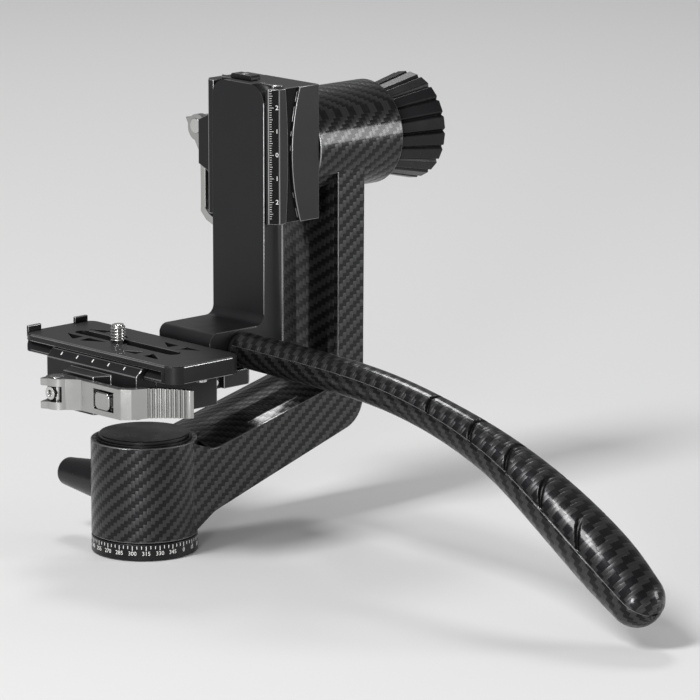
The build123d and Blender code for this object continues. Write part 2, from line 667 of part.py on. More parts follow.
def lever_outline():
    """Lever seen along its pin, as (u, v) points about the pin: outer side, tail end, inner side."""
    flat_in = LEVER_FLAT_V - LEVER_T
    return [
        (3.0, 6.4),
        (-11.9, LEVER_FLAT_V),
        (-36.5, LEVER_FLAT_V),
        (-39.9, -6.4),
        *lever_grip(),
        (-56.6, -25.6),
        (-54.8, -26.6),
        (-45.7, -20.4),
        (-39.9, -14.6),
        (-37.1, -8.2),
        (-35.1, flat_in),
        (-10.7, flat_in),
        (-4.2, -6.6),
        (4.6, -2.0),
    ]


def rib_places():
    """Place of each grip rib's groove: u, v and direction in degrees, evenly along the grip."""
    points = lever_grip()
    places = []
    along = RIB_PITCH / 2
    for start, end in zip(points, points[1:]):
        step_u = end[0] - start[0]
        step_v = end[1] - start[1]
        length = math.hypot(step_u, step_v)
        while along < length and len(places) < RIB_N:
            share = along / length
            place = (start[0] + share * step_u, start[1] + share * step_v)
            places.append((*place, math.degrees(math.atan2(step_v, step_u))))
            along += RIB_PITCH
        along -= length
    return places


def make_lever():
    """Cam lever about its pin at the origin, with its lock button."""
    lead = math.radians(CAM_LEAD)
    cam_u = -CAM_THROW * math.sin(lead)
    cam_v = -CAM_THROW * math.cos(lead)
    blade = extrude(make_face(Polyline(*lever_outline(), close=True)), FORK_H / 2, both=True)
    upright = blade.edges().filter_by(Axis.Z)
    bends = [edge for edge in upright if BEND_FROM_U < edge.center().X < BEND_TO_U]
    blade = fillet(bends, 1.2)
    blade += Pos(cam_u, cam_v, 0) * Cylinder(CAM_R, FORK_H)
    taper_start = WINDOW_U - WINDOW_LEN / 2 - 2.0
    taper_end = -80.0
    for side in (1, -1):
        spare = [(taper_start, side * FORK_H / 2), (taper_end, side * TAIL_H / 2),
                 (taper_end, side * FORK_H), (taper_start, side * FORK_H)]
        face = make_face(Plane.XZ * Polyline(*spare, close=True))
        blade -= extrude(face, 4 * FORK_H, both=True)
    blade -= Pos(SLOT_END_U + 4 * FORK_H, 0, 0) * Box(8 * FORK_H, 8 * FORK_H, 2 * SLOT_HALF_H)
    blade -= Cylinder(PIN_R, FORK_H + 2)
    blade -= Pos(WINDOW_U, 0, 0) * Box(WINDOW_LEN, 4 * LEVER_T + 8, WINDOW_H)
    for rib_u, rib_v, turn in rib_places():
        blade -= Pos(rib_u, rib_v, 0) * Rot(0, 0, turn) * Box(RIB_W, 2 * RIB_DEPTH, FORK_H)

    button_t = LEVER_T + BUTTON_PROUD - BUTTON_TRAVEL - SLIDE
    button_v = LEVER_FLAT_V + BUTTON_PROUD - button_t / 2
    button = Pos(WINDOW_U, button_v, 0) * Box(BUTTON_LEN, button_t, BUTTON_H)
    button = fillet(button.edges().filter_by(Axis.Y), 2.2)
    button = fillet(button.edges().group_by(Axis.Y)[-1], 0.6)
    tongue = Pos(WINDOW_U, LEVER_FLAT_V - LEVER_T / 2, 0) * Box(WINDOW_LEN - 2 * SLIDE, 1.2, BUTTON_H / 2)
    return blade, button + tongue


def place_clamp(prefix, frame, depth, lip, corner, bump_w, bump_top):
    """Write the moving pieces of one clamp, and return its body before the rod's bores are cut."""
    pin_v = bump_w + PIN_TO_BUMP
    jaw = moving_side(depth, lip, corner, bump_w, bump_top) - rod_passage(ROD_R + GAP)
    save(f"{prefix}_jaw", frame * jaw)
    save(f"{prefix}_tie_rod", frame * tie_rod(pin_v))
    save(f"{prefix}_barrel_nut", frame * barrel_nut())
    lever, button = make_lever()
    at_pin = frame * Pos(PIN_OFFSET, pin_v, -LEVER_DROP)
    save(f"{prefix}_trunnion", at_pin * trunnion())
    save(f"{prefix}_lever", at_pin * lever)
    save(f"{prefix}_lock_button", at_pin * button)
    return fixed_side(depth, lip, corner)


def make_upper_clamp():
    """Upper clamp: hourglass recess on its fixed side, and four screws into the tilt shaft."""
    frame = clamp_frame_upper()
    body = place_clamp("upper_clamp", frame, UPPER_DEPTH, UPPER_LIP_H, UPPER_CHAMFER,
                       UPPER_BUMP_W, UPPER_BUMP_TOP)
    half = CLAMP_LEN / 2 + 1
    near_w = RECESS_NEAR_END_W
    far_w = RECESS_FAR_END_W
    near = Spline((-half, near_w), (0, RECESS_NEAR_MID_W), (half, near_w))
    far = Spline((half, far_w), (0, RECESS_FAR_MID_W), (-half, far_w))
    loop = near + Line((half, near_w), (half, far_w)) + far + Line((-half, far_w), (-half, near_w))
    face_plane = Plane((0, -CLAMP_FIXED_W, 0), x_dir=(1, 0, 0), z_dir=(0, -1, 0))
    body -= extrude(make_face(face_plane * loop), RECESS_DEPTH, both=True)
    placed = frame * (body - rod_passage(ROD_R + RUN))
    screws = []
    for place in flange_screw_places(LEG_SEAT_X + UPPER_DEPTH):
        placed -= place * screw_hole(UPPER_DEPTH)
        head_hole = Pos(0, 0, -FLANGE_SCREW_SEAT - UPPER_DEPTH / 2)
        placed -= place * head_hole * Cylinder(BASE_SCREW_R * 2 + FIT, UPPER_DEPTH)
        shank = Pos(0, 0, FLANGE_SCREW_GRIP - FLANGE_SCREW_LEN / 2) * Cylinder(BASE_SCREW_R, FLANGE_SCREW_LEN)
        head = Pos(0, 0, -FLANGE_SCREW_SEAT - BASE_SCREW_R) * Cylinder(BASE_SCREW_R * 2, BASE_SCREW_R * 2)
        screws.append(place * (shank + head))
    save("upper_clamp_body", placed)
    save("flange_screws", *screws)


def make_bracket():
    """L-bracket: dovetail leg, foot, end stop and its screw."""
    tail_in_x = LEG_SEAT_X - TAIL_EDGE_H
    neck_x = LEG_SEAT_X - tail_top()
    outline = [
        (LEG_FRONT_X, -TAIL_NECK_HALF_W),
        (neck_x, -TAIL_NECK_HALF_W),
        (tail_in_x, -TAIL_HALF_W),
        (LEG_SEAT_X, -TAIL_HALF_W),
        (LEG_SEAT_X, TAIL_HALF_W),
        (tail_in_x, TAIL_HALF_W),
        (neck_x, TAIL_NECK_HALF_W),
        (LEG_FRONT_X, TAIL_NECK_HALF_W),
    ]
    low = Plane.XY.offset(FOOT_BOTTOM_Z)
    leg_face = make_face(low * Polyline(*outline, close=True))
    leg = extrude(leg_face, LEG_TOP_Z - FOOT_BOTTOM_Z, dir=(0, 0, 1))
    slab_half = TAIL_NECK_HALF_W
    corner_block = block(0, neck_x, -slab_half, slab_half, FOOT_BOTTOM_Z, LEG_TOP_Z)
    top_edges = [edge for edge in corner_block.edges().filter_by(Axis.X) if edge.center().Z > TILT_Z]
    corner_block = fillet(top_edges, LEG_CORNER_R)
    tail_block = block(neck_x, LEG_SEAT_X, -TAIL_HALF_W, TAIL_HALF_W, FOOT_BOTTOM_Z, LEG_TOP_Z)
    leg &= corner_block + tail_block
    foot = block(FOOT_LEFT_X, LEG_SEAT_X, -slab_half, slab_half, FOOT_BOTTOM_Z, FOOT_TOP_Z)
    foot = fillet(edges_near(foot, FOOT_LEFT_X, FOOT_TOP_Z), FOOT_NOSE_R)
    bracket = leg + foot
    bracket = fillet(edges_near(bracket, LEG_FRONT_X, FOOT_TOP_Z), FOOT_FILLET_R)
    root_z = HANDLE_STATIONS[0][1]
    bracket -= y_cyl(STUD_R + FIT, -TAIL_HALF_W - 1, STUD_IN - slab_half, HANDLE_X, root_z)
    for x, y in foot_screw_places():
        bracket -= up_cyl(BASE_SCREW_R + FIT, FOOT_BOTTOM_Z - 1, FOOT_BOTTOM_Z + 8.5, x, y)
    stop_x = (neck_x + LEG_SEAT_X) / 2
    bracket -= up_cyl(BASE_SCREW_R + FIT, LEG_TOP_Z - 8.5, LEG_TOP_Z + 1, stop_x, 3.0)
    save("l_bracket", bracket)

    stop = block(neck_x, LEG_SEAT_X + 1.2, -3.0, STOP_W - 3.0, LEG_TOP_Z, LEG_TOP_Z + STOP_H)
    stop = fillet(stop.edges().filter_by(Axis.X).group_by(Axis.Z)[-1], 1.4)
    stop -= up_cyl(BASE_SCREW_R + FIT, LEG_TOP_Z - 1, LEG_TOP_Z + 5, stop_x, 3.0)
    save("rail_stop", stop)
    screw = up_cyl(BASE_SCREW_R, LEG_TOP_Z - 8, LEG_TOP_Z + STOP_H + 0.1, stop_x, 3.0)
    save("rail_stop_screw", screw)


def foot_screw_places():
    """Centres of the screws that join the platform to the bracket's foot."""
    return [(28.0, -9.5), (28.0, 9.5), (38.0, 9.5)]


def make_lower_clamp():
    """Lower clamp, its platform under the foot, the platform's screws and stop pin."""
    frame = clamp_frame_lower()
    body = place_clamp("lower_clamp", frame, LOWER_DEPTH, LOWER_LIP_H, LOWER_CHAMFER,
                       LOWER_BUMP_W, LOWER_BUMP_TOP)
    platform = block(0, PLATFORM_END_X, -PLATFORM_HALF_W, PLATFORM_HALF_W,
                     PLATFORM_BOTTOM_Z, PLATFORM_TOP_Z)
    platform = chamfer(platform.edges().filter_by(Axis.Z), PLATFORM_CORNER)
    platform -= block(0, PLATFORM_STEP_X, -PLATFORM_HALF_W - 1, -PLATFORM_HALF_W + PLATFORM_STEP,
                      PLATFORM_BOTTOM_Z - 1, PLATFORM_TOP_Z + 1)
    placed = frame * body + platform
    placed -= frame * rod_passage(ROD_R + RUN)
    screws = []
    for x, y in foot_screw_places():
        placed -= up_cyl(BASE_SCREW_R + FIT, 0, PLATFORM_TOP_Z + 1, x, y)
        screws.append(up_cyl(BASE_SCREW_R, PLATFORM_BOTTOM_Z, FOOT_BOTTOM_Z + 8, x, y)
                      + up_cyl(FOOT_SCREW_R, PLATFORM_BOTTOM_Z - FOOT_SCREW_H, PLATFORM_BOTTOM_Z, x, y))
    pin_x = CLAMP_FIXED_W + STOP_PIN_R + 1.0
    pin_y = -PLATFORM_HALF_W + PLATFORM_STEP
    placed -= y_cyl(STOP_PIN_R + FIT, pin_y - 1, pin_y + 5, pin_x, STOP_PIN_Z)
    save("lower_clamp_body", placed)
    save("foot_screws", *screws)
    save("platform_stop_pin", y_cyl(STOP_PIN_R, pin_y - 2.4, pin_y + 4.8, pin_x, STOP_PIN_Z))


# ==== camera plate ====

def truss_pocket(points):
    """Triangular opening through the plate, with small rounded corners."""
    face = make_face(Plane.XY.offset(SEAT_Z - 1) * Polyline(*points, close=True))
    prism = extrude(face, PLATE_TOP_Z - SEAT_Z + 2, dir=(0, 0, 1))
    return fillet(prism.edges().filter_by(Axis.Z), TRUSS_CORNER_R)


def make_camera_plate():
    """Sliding camera plate, its tabs, stop screws, slider and camera screw."""
    flange_low = PLATE_TOP_Z - PLATE_FLANGE_H
    length = PLATE_MAX_Y - PLATE_MIN_Y
    neck_top = SEAT_Z + tail_top()
    half = [
        (PLATE_HALF_W, PLATE_TOP_Z),
        (PLATE_HALF_W, flange_low),
        (TAIL_NECK_HALF_W, flange_low),
        (TAIL_NECK_HALF_W, neck_top),
        (TAIL_HALF_W, SEAT_Z + TAIL_EDGE_H),
        (TAIL_HALF_W, SEAT_Z),
    ]
    other_half = [(-x, z) for x, z in reversed(half)]
    face = make_face(Plane.XZ * Polyline(*half, *other_half, close=True))
    plate = Pos(0, PLATE_MAX_Y, 0) * extrude(face, length, dir=(0, -1, 0))
    block_end = PLATE_MIN_Y + PLATE_BLOCK_LEN
    plate += block(-PLATE_HALF_W, PLATE_HALF_W, PLATE_MIN_Y, block_end, SEAT_Z, PLATE_TOP_Z)
    rounded = RectangleRounded(2 * PLATE_HALF_W, length, PLATE_CORNER_R)
    plate &= Pos(0, (PLATE_MIN_Y + PLATE_MAX_Y) / 2, SEAT_Z) * extrude(rounded, PLATE_TOP_Z - SEAT_Z)
    plate = chamfer(plate.faces().sort_by(Axis.Z)[-1].edges(), 0.5)

    middle = (SLOT_START_Y + SLOT_END_Y) / 2
    slot_len = SLOT_END_Y - SLOT_START_Y
    slot = SlotOverall(slot_len, 2 * SLOT_HALF_W, rotation=90)
    plate -= Pos(0, middle, SEAT_Z - 1) * extrude(slot, PLATE_TOP_Z - SEAT_Z + 2)
    recess = SlotOverall(slot_len + 2 * TRUSS_WEB, 2 * SLIDER_R + 1, rotation=90)
    plate -= Pos(0, middle, SEAT_Z - 1) * extrude(recess, RECESS_TOP_Z - SEAT_Z + 1)
    for side in (1, -1):
        for pocket in TRUSS_POCKETS:
            plate -= truss_pocket([(side * x, y) for x, y in pocket])
    stop_y = [block_end - 3.0, PLATE_MAX_Y - 4.0]
    for y in stop_y:
        plate -= up_cyl(BASE_SCREW_R + FIT, SEAT_Z - 1, PLATE_TOP_Z - 2, 0, y)
    tabs = []
    tab_y = PLATE_MAX_Y - 0.2
    for side in (1, -1):
        tab_x = side * (TAB_OUT_X - TAB_W / 2)
        tab = block(tab_x - TAB_W / 2, tab_x + TAB_W / 2, tab_y - TAB_T, tab_y,
                    PLATE_TOP_Z - TAB_KEY, PLATE_TOP_Z + TAB_H)
        plate -= tab
        tabs.append(chamfer(tab.edges().group_by(Axis.Z)[-1], 0.3))
    save("camera_plate", plate)
    save("anti_twist_tabs", *tabs)
    stops = []
    for y in stop_y:
        shank = up_cyl(BASE_SCREW_R, SEAT_Z, PLATE_TOP_Z - 2.2, 0, y)
        stops.append(shank + up_cyl(BASE_SCREW_R * 1.8, SEAT_Z - 1.6, SEAT_Z, 0, y))
    save("safety_stop_screws", *stops)

    head_low = SEAT_Z + 0.4
    head_high = head_low + SCREW_HEAD_H
    thread_low = PLATE_TOP_Z + SLIDE
    slider = up_cyl(SLIDER_R, head_high + SLIDE, RECESS_TOP_Z - SLIDE, 0, CAMERA_SCREW_Y)
    guide = SlotOverall(2 * SLOT_HALF_W + 2.0, 2 * (SLOT_HALF_W - GAP), rotation=90)
    guide_low = RECESS_TOP_Z - SLIDE
    slider += Pos(0, CAMERA_SCREW_Y, guide_low) * extrude(guide, PLATE_TOP_Z - SLIDER_DROP - guide_low)
    slider -= up_cyl(CAMERA_SCREW_NECK_R + RUN, 0, TILT_Z, 0, CAMERA_SCREW_Y)
    save("screw_slider", slider)
    screw = up_cyl(SLIDER_R - 0.6, head_low, head_high, 0, CAMERA_SCREW_Y)
    screw += up_cyl(CAMERA_SCREW_NECK_R, head_high, thread_low, 0, CAMERA_SCREW_Y)
    thread = up_cyl(CAMERA_SCREW_R, thread_low, PLATE_TOP_Z + CAMERA_SCREW_PROUD, 0, CAMERA_SCREW_Y)
    thread = chamfer(thread.edges().group_by(Axis.Z)[-1], 0.7)
    screw += thread
    screw -= block(-4, 4, CAMERA_SCREW_Y - 0.6, CAMERA_SCREW_Y + 0.6, head_low - 1, head_low + 1)
    save("camera_screw", screw)


# ==== handle ====

def handle_planes():
    """Plane across the handle at each station, facing along its centre line."""
    planes = []
    count = len(HANDLE_STATIONS)
    for index, (y, z, _) in enumerate(HANDLE_STATIONS):
        before = HANDLE_STATIONS[max(index - 1, 0)]
        after = HANDLE_STATIONS[min(index + 1, count - 1)]
        along = (0, after[0] - before[0], after[1] - before[1])
        planes.append(Plane((HANDLE_X, y, z), x_dir=(1, 0, 0), z_dir=along))
    return planes


def handle_body(inset):
    """The handle's whole form, drawn in by an inset all round."""
    sections = []
    for plane, (_, _, radius) in zip(handle_planes(), HANDLE_STATIONS):
        sections.append(plane * Circle(radius - inset))
    end_y, end_z, end_r = HANDLE_STATIONS[-1]
    return loft(sections) + Pos(HANDLE_X, end_y, end_z) * Sphere(end_r - inset)


def above_seam():
    """Everything above the seam between the two shells."""
    points = [(y, z + HANDLE_SEAM_RISE) for y, z, _ in HANDLE_STATIONS]
    last = points[-1]
    prior = points[-2]
    beyond = (2.4 * last[0] - 1.4 * prior[0], 2.4 * last[1] - 1.4 * prior[1])
    first = (points[0][0] + SEAM_OVERRUN, points[0][1])
    half_x = 3 * HANDLE_STATIONS[-1][2]
    seam = Spline(first, *points, beyond)
    roof = Polyline(beyond, (beyond[0], TILT_Z), (first[0], TILT_Z), first)
    return Pos(HANDLE_X, 0, 0) * extrude(make_face(Plane.YZ * (seam + roof)), half_x, both=True)


def groove_slab(share):
    """Thin leaning slab across the handle, at a share of the run along Y."""
    start_y = HANDLE_STATIONS[0][0]
    y = start_y + share * (HANDLE_STATIONS[-1][0] - start_y)
    ahead = next(index for index, station in enumerate(HANDLE_STATIONS) if station[0] < y)
    near, far = HANDLE_STATIONS[ahead - 1], HANDLE_STATIONS[ahead]
    z = near[1] + (y - near[0]) / (far[0] - near[0]) * (far[1] - near[1]) + HANDLE_SEAM_RISE
    across = 5 * near[2]
    return Pos(HANDLE_X, y, z) * Rot(-GROOVE_LEAN, 0, 0) * Box(across, GROOVE_W, across)


def make_handle():
    """Upper and lower shells, core, root collar and stud."""
    outer = handle_body(0)
    slim = handle_body(HANDLE_STEP)
    inner = handle_body(HANDLE_WALL)
    roof = above_seam()
    upper = (outer - inner) & roof
    floor = handle_body(GROOVE_DEPTH)
    for share in GROOVE_SHARES:
        upper -= groove_slab(share) - floor
    save("handle_upper_shell", upper)
    save("handle_lower_shell", (slim - inner) - roof)
    root_y, root_z, root_r = HANDLE_STATIONS[0]
    face_y = -TAIL_NECK_HALF_W
    stud = y_cyl(STUD_R, root_y - STUD_OUT, face_y + STUD_IN - 0.2, HANDLE_X, root_z)
    hole = y_cyl(STUD_R + FIT, root_y - STUD_OUT - 0.2, face_y + STUD_IN, HANDLE_X, root_z)
    save("handle_stud", stud)
    save("handle_core", handle_body(HANDLE_WALL + FIT) - hole)
    collar = y_cyl(root_r - 0.5, root_y + 0.3, face_y, HANDLE_X, root_z)
    save("handle_collar", collar - hole)


make_base()
make_arm()
make_pan_lock()
make_tilt()
make_upper_clamp()
make_bracket()
make_lower_clamp()
make_camera_plate()
make_handle()
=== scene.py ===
import logging
import math
from dataclasses import dataclass, field
from enum import Enum
from typing import Callable

import bmesh
import bpy
import numpy as np
from mathutils import Matrix, Vector


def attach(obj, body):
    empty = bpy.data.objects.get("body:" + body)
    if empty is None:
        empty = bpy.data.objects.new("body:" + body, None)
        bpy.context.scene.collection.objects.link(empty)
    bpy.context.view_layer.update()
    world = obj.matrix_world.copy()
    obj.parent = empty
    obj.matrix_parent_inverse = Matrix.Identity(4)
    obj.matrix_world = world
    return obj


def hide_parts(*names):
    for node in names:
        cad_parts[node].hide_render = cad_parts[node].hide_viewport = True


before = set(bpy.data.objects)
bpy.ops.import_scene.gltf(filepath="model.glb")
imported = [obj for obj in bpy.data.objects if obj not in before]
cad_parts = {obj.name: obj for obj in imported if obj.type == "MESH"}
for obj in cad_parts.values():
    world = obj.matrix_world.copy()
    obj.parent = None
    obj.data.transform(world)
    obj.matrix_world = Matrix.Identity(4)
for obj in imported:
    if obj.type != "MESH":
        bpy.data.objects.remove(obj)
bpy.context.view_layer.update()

LOG = logging.getLogger("gimbal_head")

MM = 0.001
UP = (0.0, 0.0, 1.0)
NOISE_SPAN = (0.3, 0.7)        # nearly all that a noise texture gives
MERGE_DISTANCE = 1e-6          # corners of a solid's mesh that are one point
FLAT_ANGLE = math.radians(0.4)
FOLD_COSINE = -0.5             # two faces past this are a fold, too sharp to round
LEAST_EDGE = 3.0               # shortest edge to round, in rounding radii
ROUND_SEGMENTS = 2
BEVEL_SAMPLES = 4
# samples of the ambient occlusion that paints shade into crevices
PAINTED_SHADE_SAMPLES = 8
RIM_SLOT, SHADE_SLOT = 1, 2     # material slots of a merged copy, after its finish in slot 0
CAP_SHARE = 0.7                # of the font's size that a digit's height takes
LETTER_DEPTH = 0.04 * MM
LETTER_CURVE = 3               # steps in each curved stretch of a digit
MARK_DEPTH = 0.08 * MM
MARK_PROUD = 0.02 * MM

Rgb = tuple[float, float, float]
Span = tuple[float, float]
Inputs = dict[str | int, object]


# ---- shader helpers ----

class Graph:
    """Adds nodes to one shader tree and links them."""

    def __init__(self, tree: bpy.types.NodeTree) -> None:
        """Keep the tree that the nodes go into."""
        self.tree = tree

    def feed(self, node: bpy.types.Node, inputs: Inputs) -> None:
        """Link sockets into a node's inputs, or write plain values there.

        Args:
            node: The node.
            inputs: Another node's output or a plain value, by the input's name or number.
        """
        for key, value in inputs.items():
            if isinstance(value, bpy.types.NodeSocket):
                self.tree.links.new(value, node.inputs[key])
            else:
                node.inputs[key].default_value = value

    def add(self, kind: str, inputs: Inputs | None = None, **settings: object) -> bpy.types.Node:
        """Add one node.

        Args:
            kind: The node's type name.
            inputs: What its inputs get, as for feed.
            **settings: Properties to set on the node.

        Returns:
            The new node.
        """
        node = self.tree.nodes.new(kind)
        for key, value in settings.items():
            setattr(node, key, value)
        self.feed(node, inputs or {})
        return node

    def math(self, operation: str, *values: object) -> bpy.types.NodeSocket:
        """Result of a Math node."""
        return self.add("ShaderNodeMath", dict(enumerate(values)), operation=operation).outputs[0]

    def mix(self, share: object, low: object, high: object, kind: str = "FLOAT") -> bpy.types.NodeSocket:
        """Blend of two values (FLOAT) or two colours (RGBA), by the share of the second one."""
        first, result = {"FLOAT": (2, 0), "RGBA": (6, 2)}[kind]
        return self.add("ShaderNodeMix", {0: share, first: low, first + 1: high},
                        data_type=kind).outputs[result]

    def spread(self, value: object, given: Span, wanted: Span = (0.0, 1.0)) -> bpy.types.NodeSocket:
        """A value mapped from one range to another and held at the ends."""
        inputs = dict(enumerate((value, *given, *wanted)))
        return self.add("ShaderNodeMapRange", inputs, clamp=True).outputs[0]

    def noise(self, place: object, scale: object, detail: float) -> bpy.types.NodeSocket:
        """Value of a noise texture at a place."""
        inputs = {"Vector": place, "Scale": scale, "Detail": detail}
        return self.add("ShaderNodeTexNoise", inputs).outputs["Fac"]


class Group:
    """A shader node group that is built once and placed in any number of materials."""

    title = "group"
    inputs: tuple[tuple[str, str, object], ...] = ()
    outputs: tuple[tuple[str, str], ...] = ()

    @classmethod
    def tree(cls) -> bpy.types.NodeTree:
        """The group's tree, made at its first use."""
        tree = bpy.data.node_groups.get(cls.title)
        if tree is None:
            tree = bpy.data.node_groups.new(cls.title, "ShaderNodeTree")
            for name, kind, value in cls.inputs:
                socket = tree.interface.new_socket(name=name, in_out="INPUT", socket_type=kind)
                if value is not None:
                    socket.default_value = value
            for name, kind in cls.outputs:
                tree.interface.new_socket(name=name, in_out="OUTPUT", socket_type=kind)
            graph = Graph(tree)
            cls.fill(graph, graph.add("NodeGroupInput"), graph.add("NodeGroupOutput"))
        return tree

    @classmethod
    def fill(cls, graph: Graph, inside: bpy.types.Node, outside: bpy.types.Node) -> None:
        """Add the group's own nodes.

        Args:
            graph: The group's tree.
            inside: Its input node.
            outside: Its output node.
        """
        raise NotImplementedError

    @classmethod
    def place(cls, graph: Graph, **values: object) -> bpy.types.Node:
        """Put the group in a material, with what its inputs get."""
        return graph.add("ShaderNodeGroup", values, node_tree=cls.tree())


class TwillWeave(Group):
    """Twill: each tow goes over two and under two, one step on in the next row."""

    title = "twill weave"
    inputs = (("Cloth", "NodeSocketVector", None), ("Tow", "NodeSocketFloat", 0.0016))
    outputs = (("Warp", "NodeSocketFloat"), ("Height", "NodeSocketFloat"), ("Fibre", "NodeSocketFloat"))
    over = 2.0
    dive = 0.6
    fibres_across = 9.0
    fibres_along = 0.7

    @classmethod
    def fill(cls, graph: Graph, inside: bpy.types.Node, outside: bpy.types.Node) -> None:
        """Cell numbers give which tow is on top; each tow is a crowned strip that dives at its ends."""
        parts = graph.add("ShaderNodeSeparateXYZ", {0: inside.outputs["Cloth"]})
        across = graph.math("DIVIDE", parts.outputs[0], inside.outputs["Tow"])
        along = graph.math("DIVIDE", parts.outputs[1], inside.outputs["Tow"])
        rest_x, rest_y = graph.math("FRACT", across), graph.math("FRACT", along)
        stagger = graph.math("SUBTRACT", graph.math("FLOOR", across), graph.math("FLOOR", along))
        step = graph.math("FLOORED_MODULO", stagger, 2 * cls.over)
        warp = graph.math("LESS_THAN", step, cls.over - 0.5)

        def crown(value: object) -> bpy.types.NodeSocket:
            """One at the middle of 0 to 1 and nothing at its ends, as a parabola."""
            centred = graph.math("MULTIPLY_ADD", value, 2.0, -1.0)
            return graph.math("SUBTRACT", 1.0, graph.math("MULTIPLY", centred, centred))

        def height(cells: object, rest: object, wide: object) -> bpy.types.NodeSocket:
            """A tow's crown across it, less where its run over the others ends."""
            run = graph.math("DIVIDE", graph.math("ADD", cells, rest), cls.over)
            sunk = graph.math("MULTIPLY_ADD", crown(run), cls.dive, 1.0 - cls.dive)
            return graph.math("MULTIPLY", graph.math("POWER", crown(wide), 0.5), sunk)

        def fibres(first: object, second: object) -> bpy.types.NodeSocket:
            """Fine streaks that run along one tow."""
            place = graph.add("ShaderNodeCombineXYZ", {0: graph.math("MULTIPLY", first, cls.fibres_across),
                                                       1: graph.math("MULTIPLY", second, cls.fibres_along)})
            return graph.noise(place.outputs[0], scale=1.0, detail=1.0)

        high_warp = height(graph.math("SUBTRACT", cls.over - 1.0, step), rest_y, rest_x)
        high_weft = height(graph.math("SUBTRACT", step, cls.over), rest_x, rest_y)
        graph.feed(outside, {"Warp": warp, "Height": graph.mix(warp, high_weft, high_warp),
                             "Fibre": graph.mix(warp, fibres(along, across), fibres(across, along))})


class FineGrain(Group):
    """Bead-blast grain: a fine noise for height, and a broad one that drifts the sheen."""

    title = "fine grain"
    inputs = (("Place", "NodeSocketVector", None), ("Grain", "NodeSocketFloat", 0.0003))
    outputs = (("Height", "NodeSocketFloat"), ("Drift", "NodeSocketFloat"))
    drift_scale = 70.0

    @classmethod
    def fill(cls, graph: Graph, inside: bpy.types.Node, outside: bpy.types.Node) -> None:
        """Two noises on the piece's own coordinates."""
        place = inside.outputs["Place"]
        fine_scale = graph.math("DIVIDE", 1.0, inside.outputs["Grain"])
        graph.feed(outside, {"Height": graph.noise(place, fine_scale, detail=2.0),
                             "Drift": graph.noise(place, cls.drift_scale, detail=3.0)})


class EdgeHighlight(Group):
    """Mask for a painted highlight: one along sharp edges, from how far a rounded normal leans from the flat
    one.
    """

    title = "painted edge highlight"
    inputs = (("Radius", "NodeSocketFloat", 0.0004), ("Breakup", "NodeSocketFloat", 0.5))
    outputs = (("Edge", "NodeSocketFloat"),)
    lean_span = (0.04, 0.22)
    breakup_span = (0.25, 0.6)
    highlight_share = (0.35, 1.0)

    @classmethod
    def fill(cls, graph: Graph, inside: bpy.types.Node, outside: bpy.types.Node) -> None:
        """One less the dot product of the rounded and the true normal, thinned by a noise."""
        rounded = graph.add("ShaderNodeBevel", {"Radius": inside.outputs["Radius"]}, samples=BEVEL_SAMPLES)
        true = graph.add("ShaderNodeNewGeometry")
        dot = graph.add("ShaderNodeVectorMath", {0: rounded.outputs["Normal"], 1: true.outputs["Normal"]},
                        operation="DOT_PRODUCT")
        sharp = graph.spread(graph.math("SUBTRACT", 1.0, dot.outputs["Value"]), cls.lean_span)
        thin = graph.spread(inside.outputs["Breakup"], cls.breakup_span, cls.highlight_share)
        graph.feed(outside, {"Edge": graph.math("MULTIPLY", sharp, thin)})


# ---- finishes ----

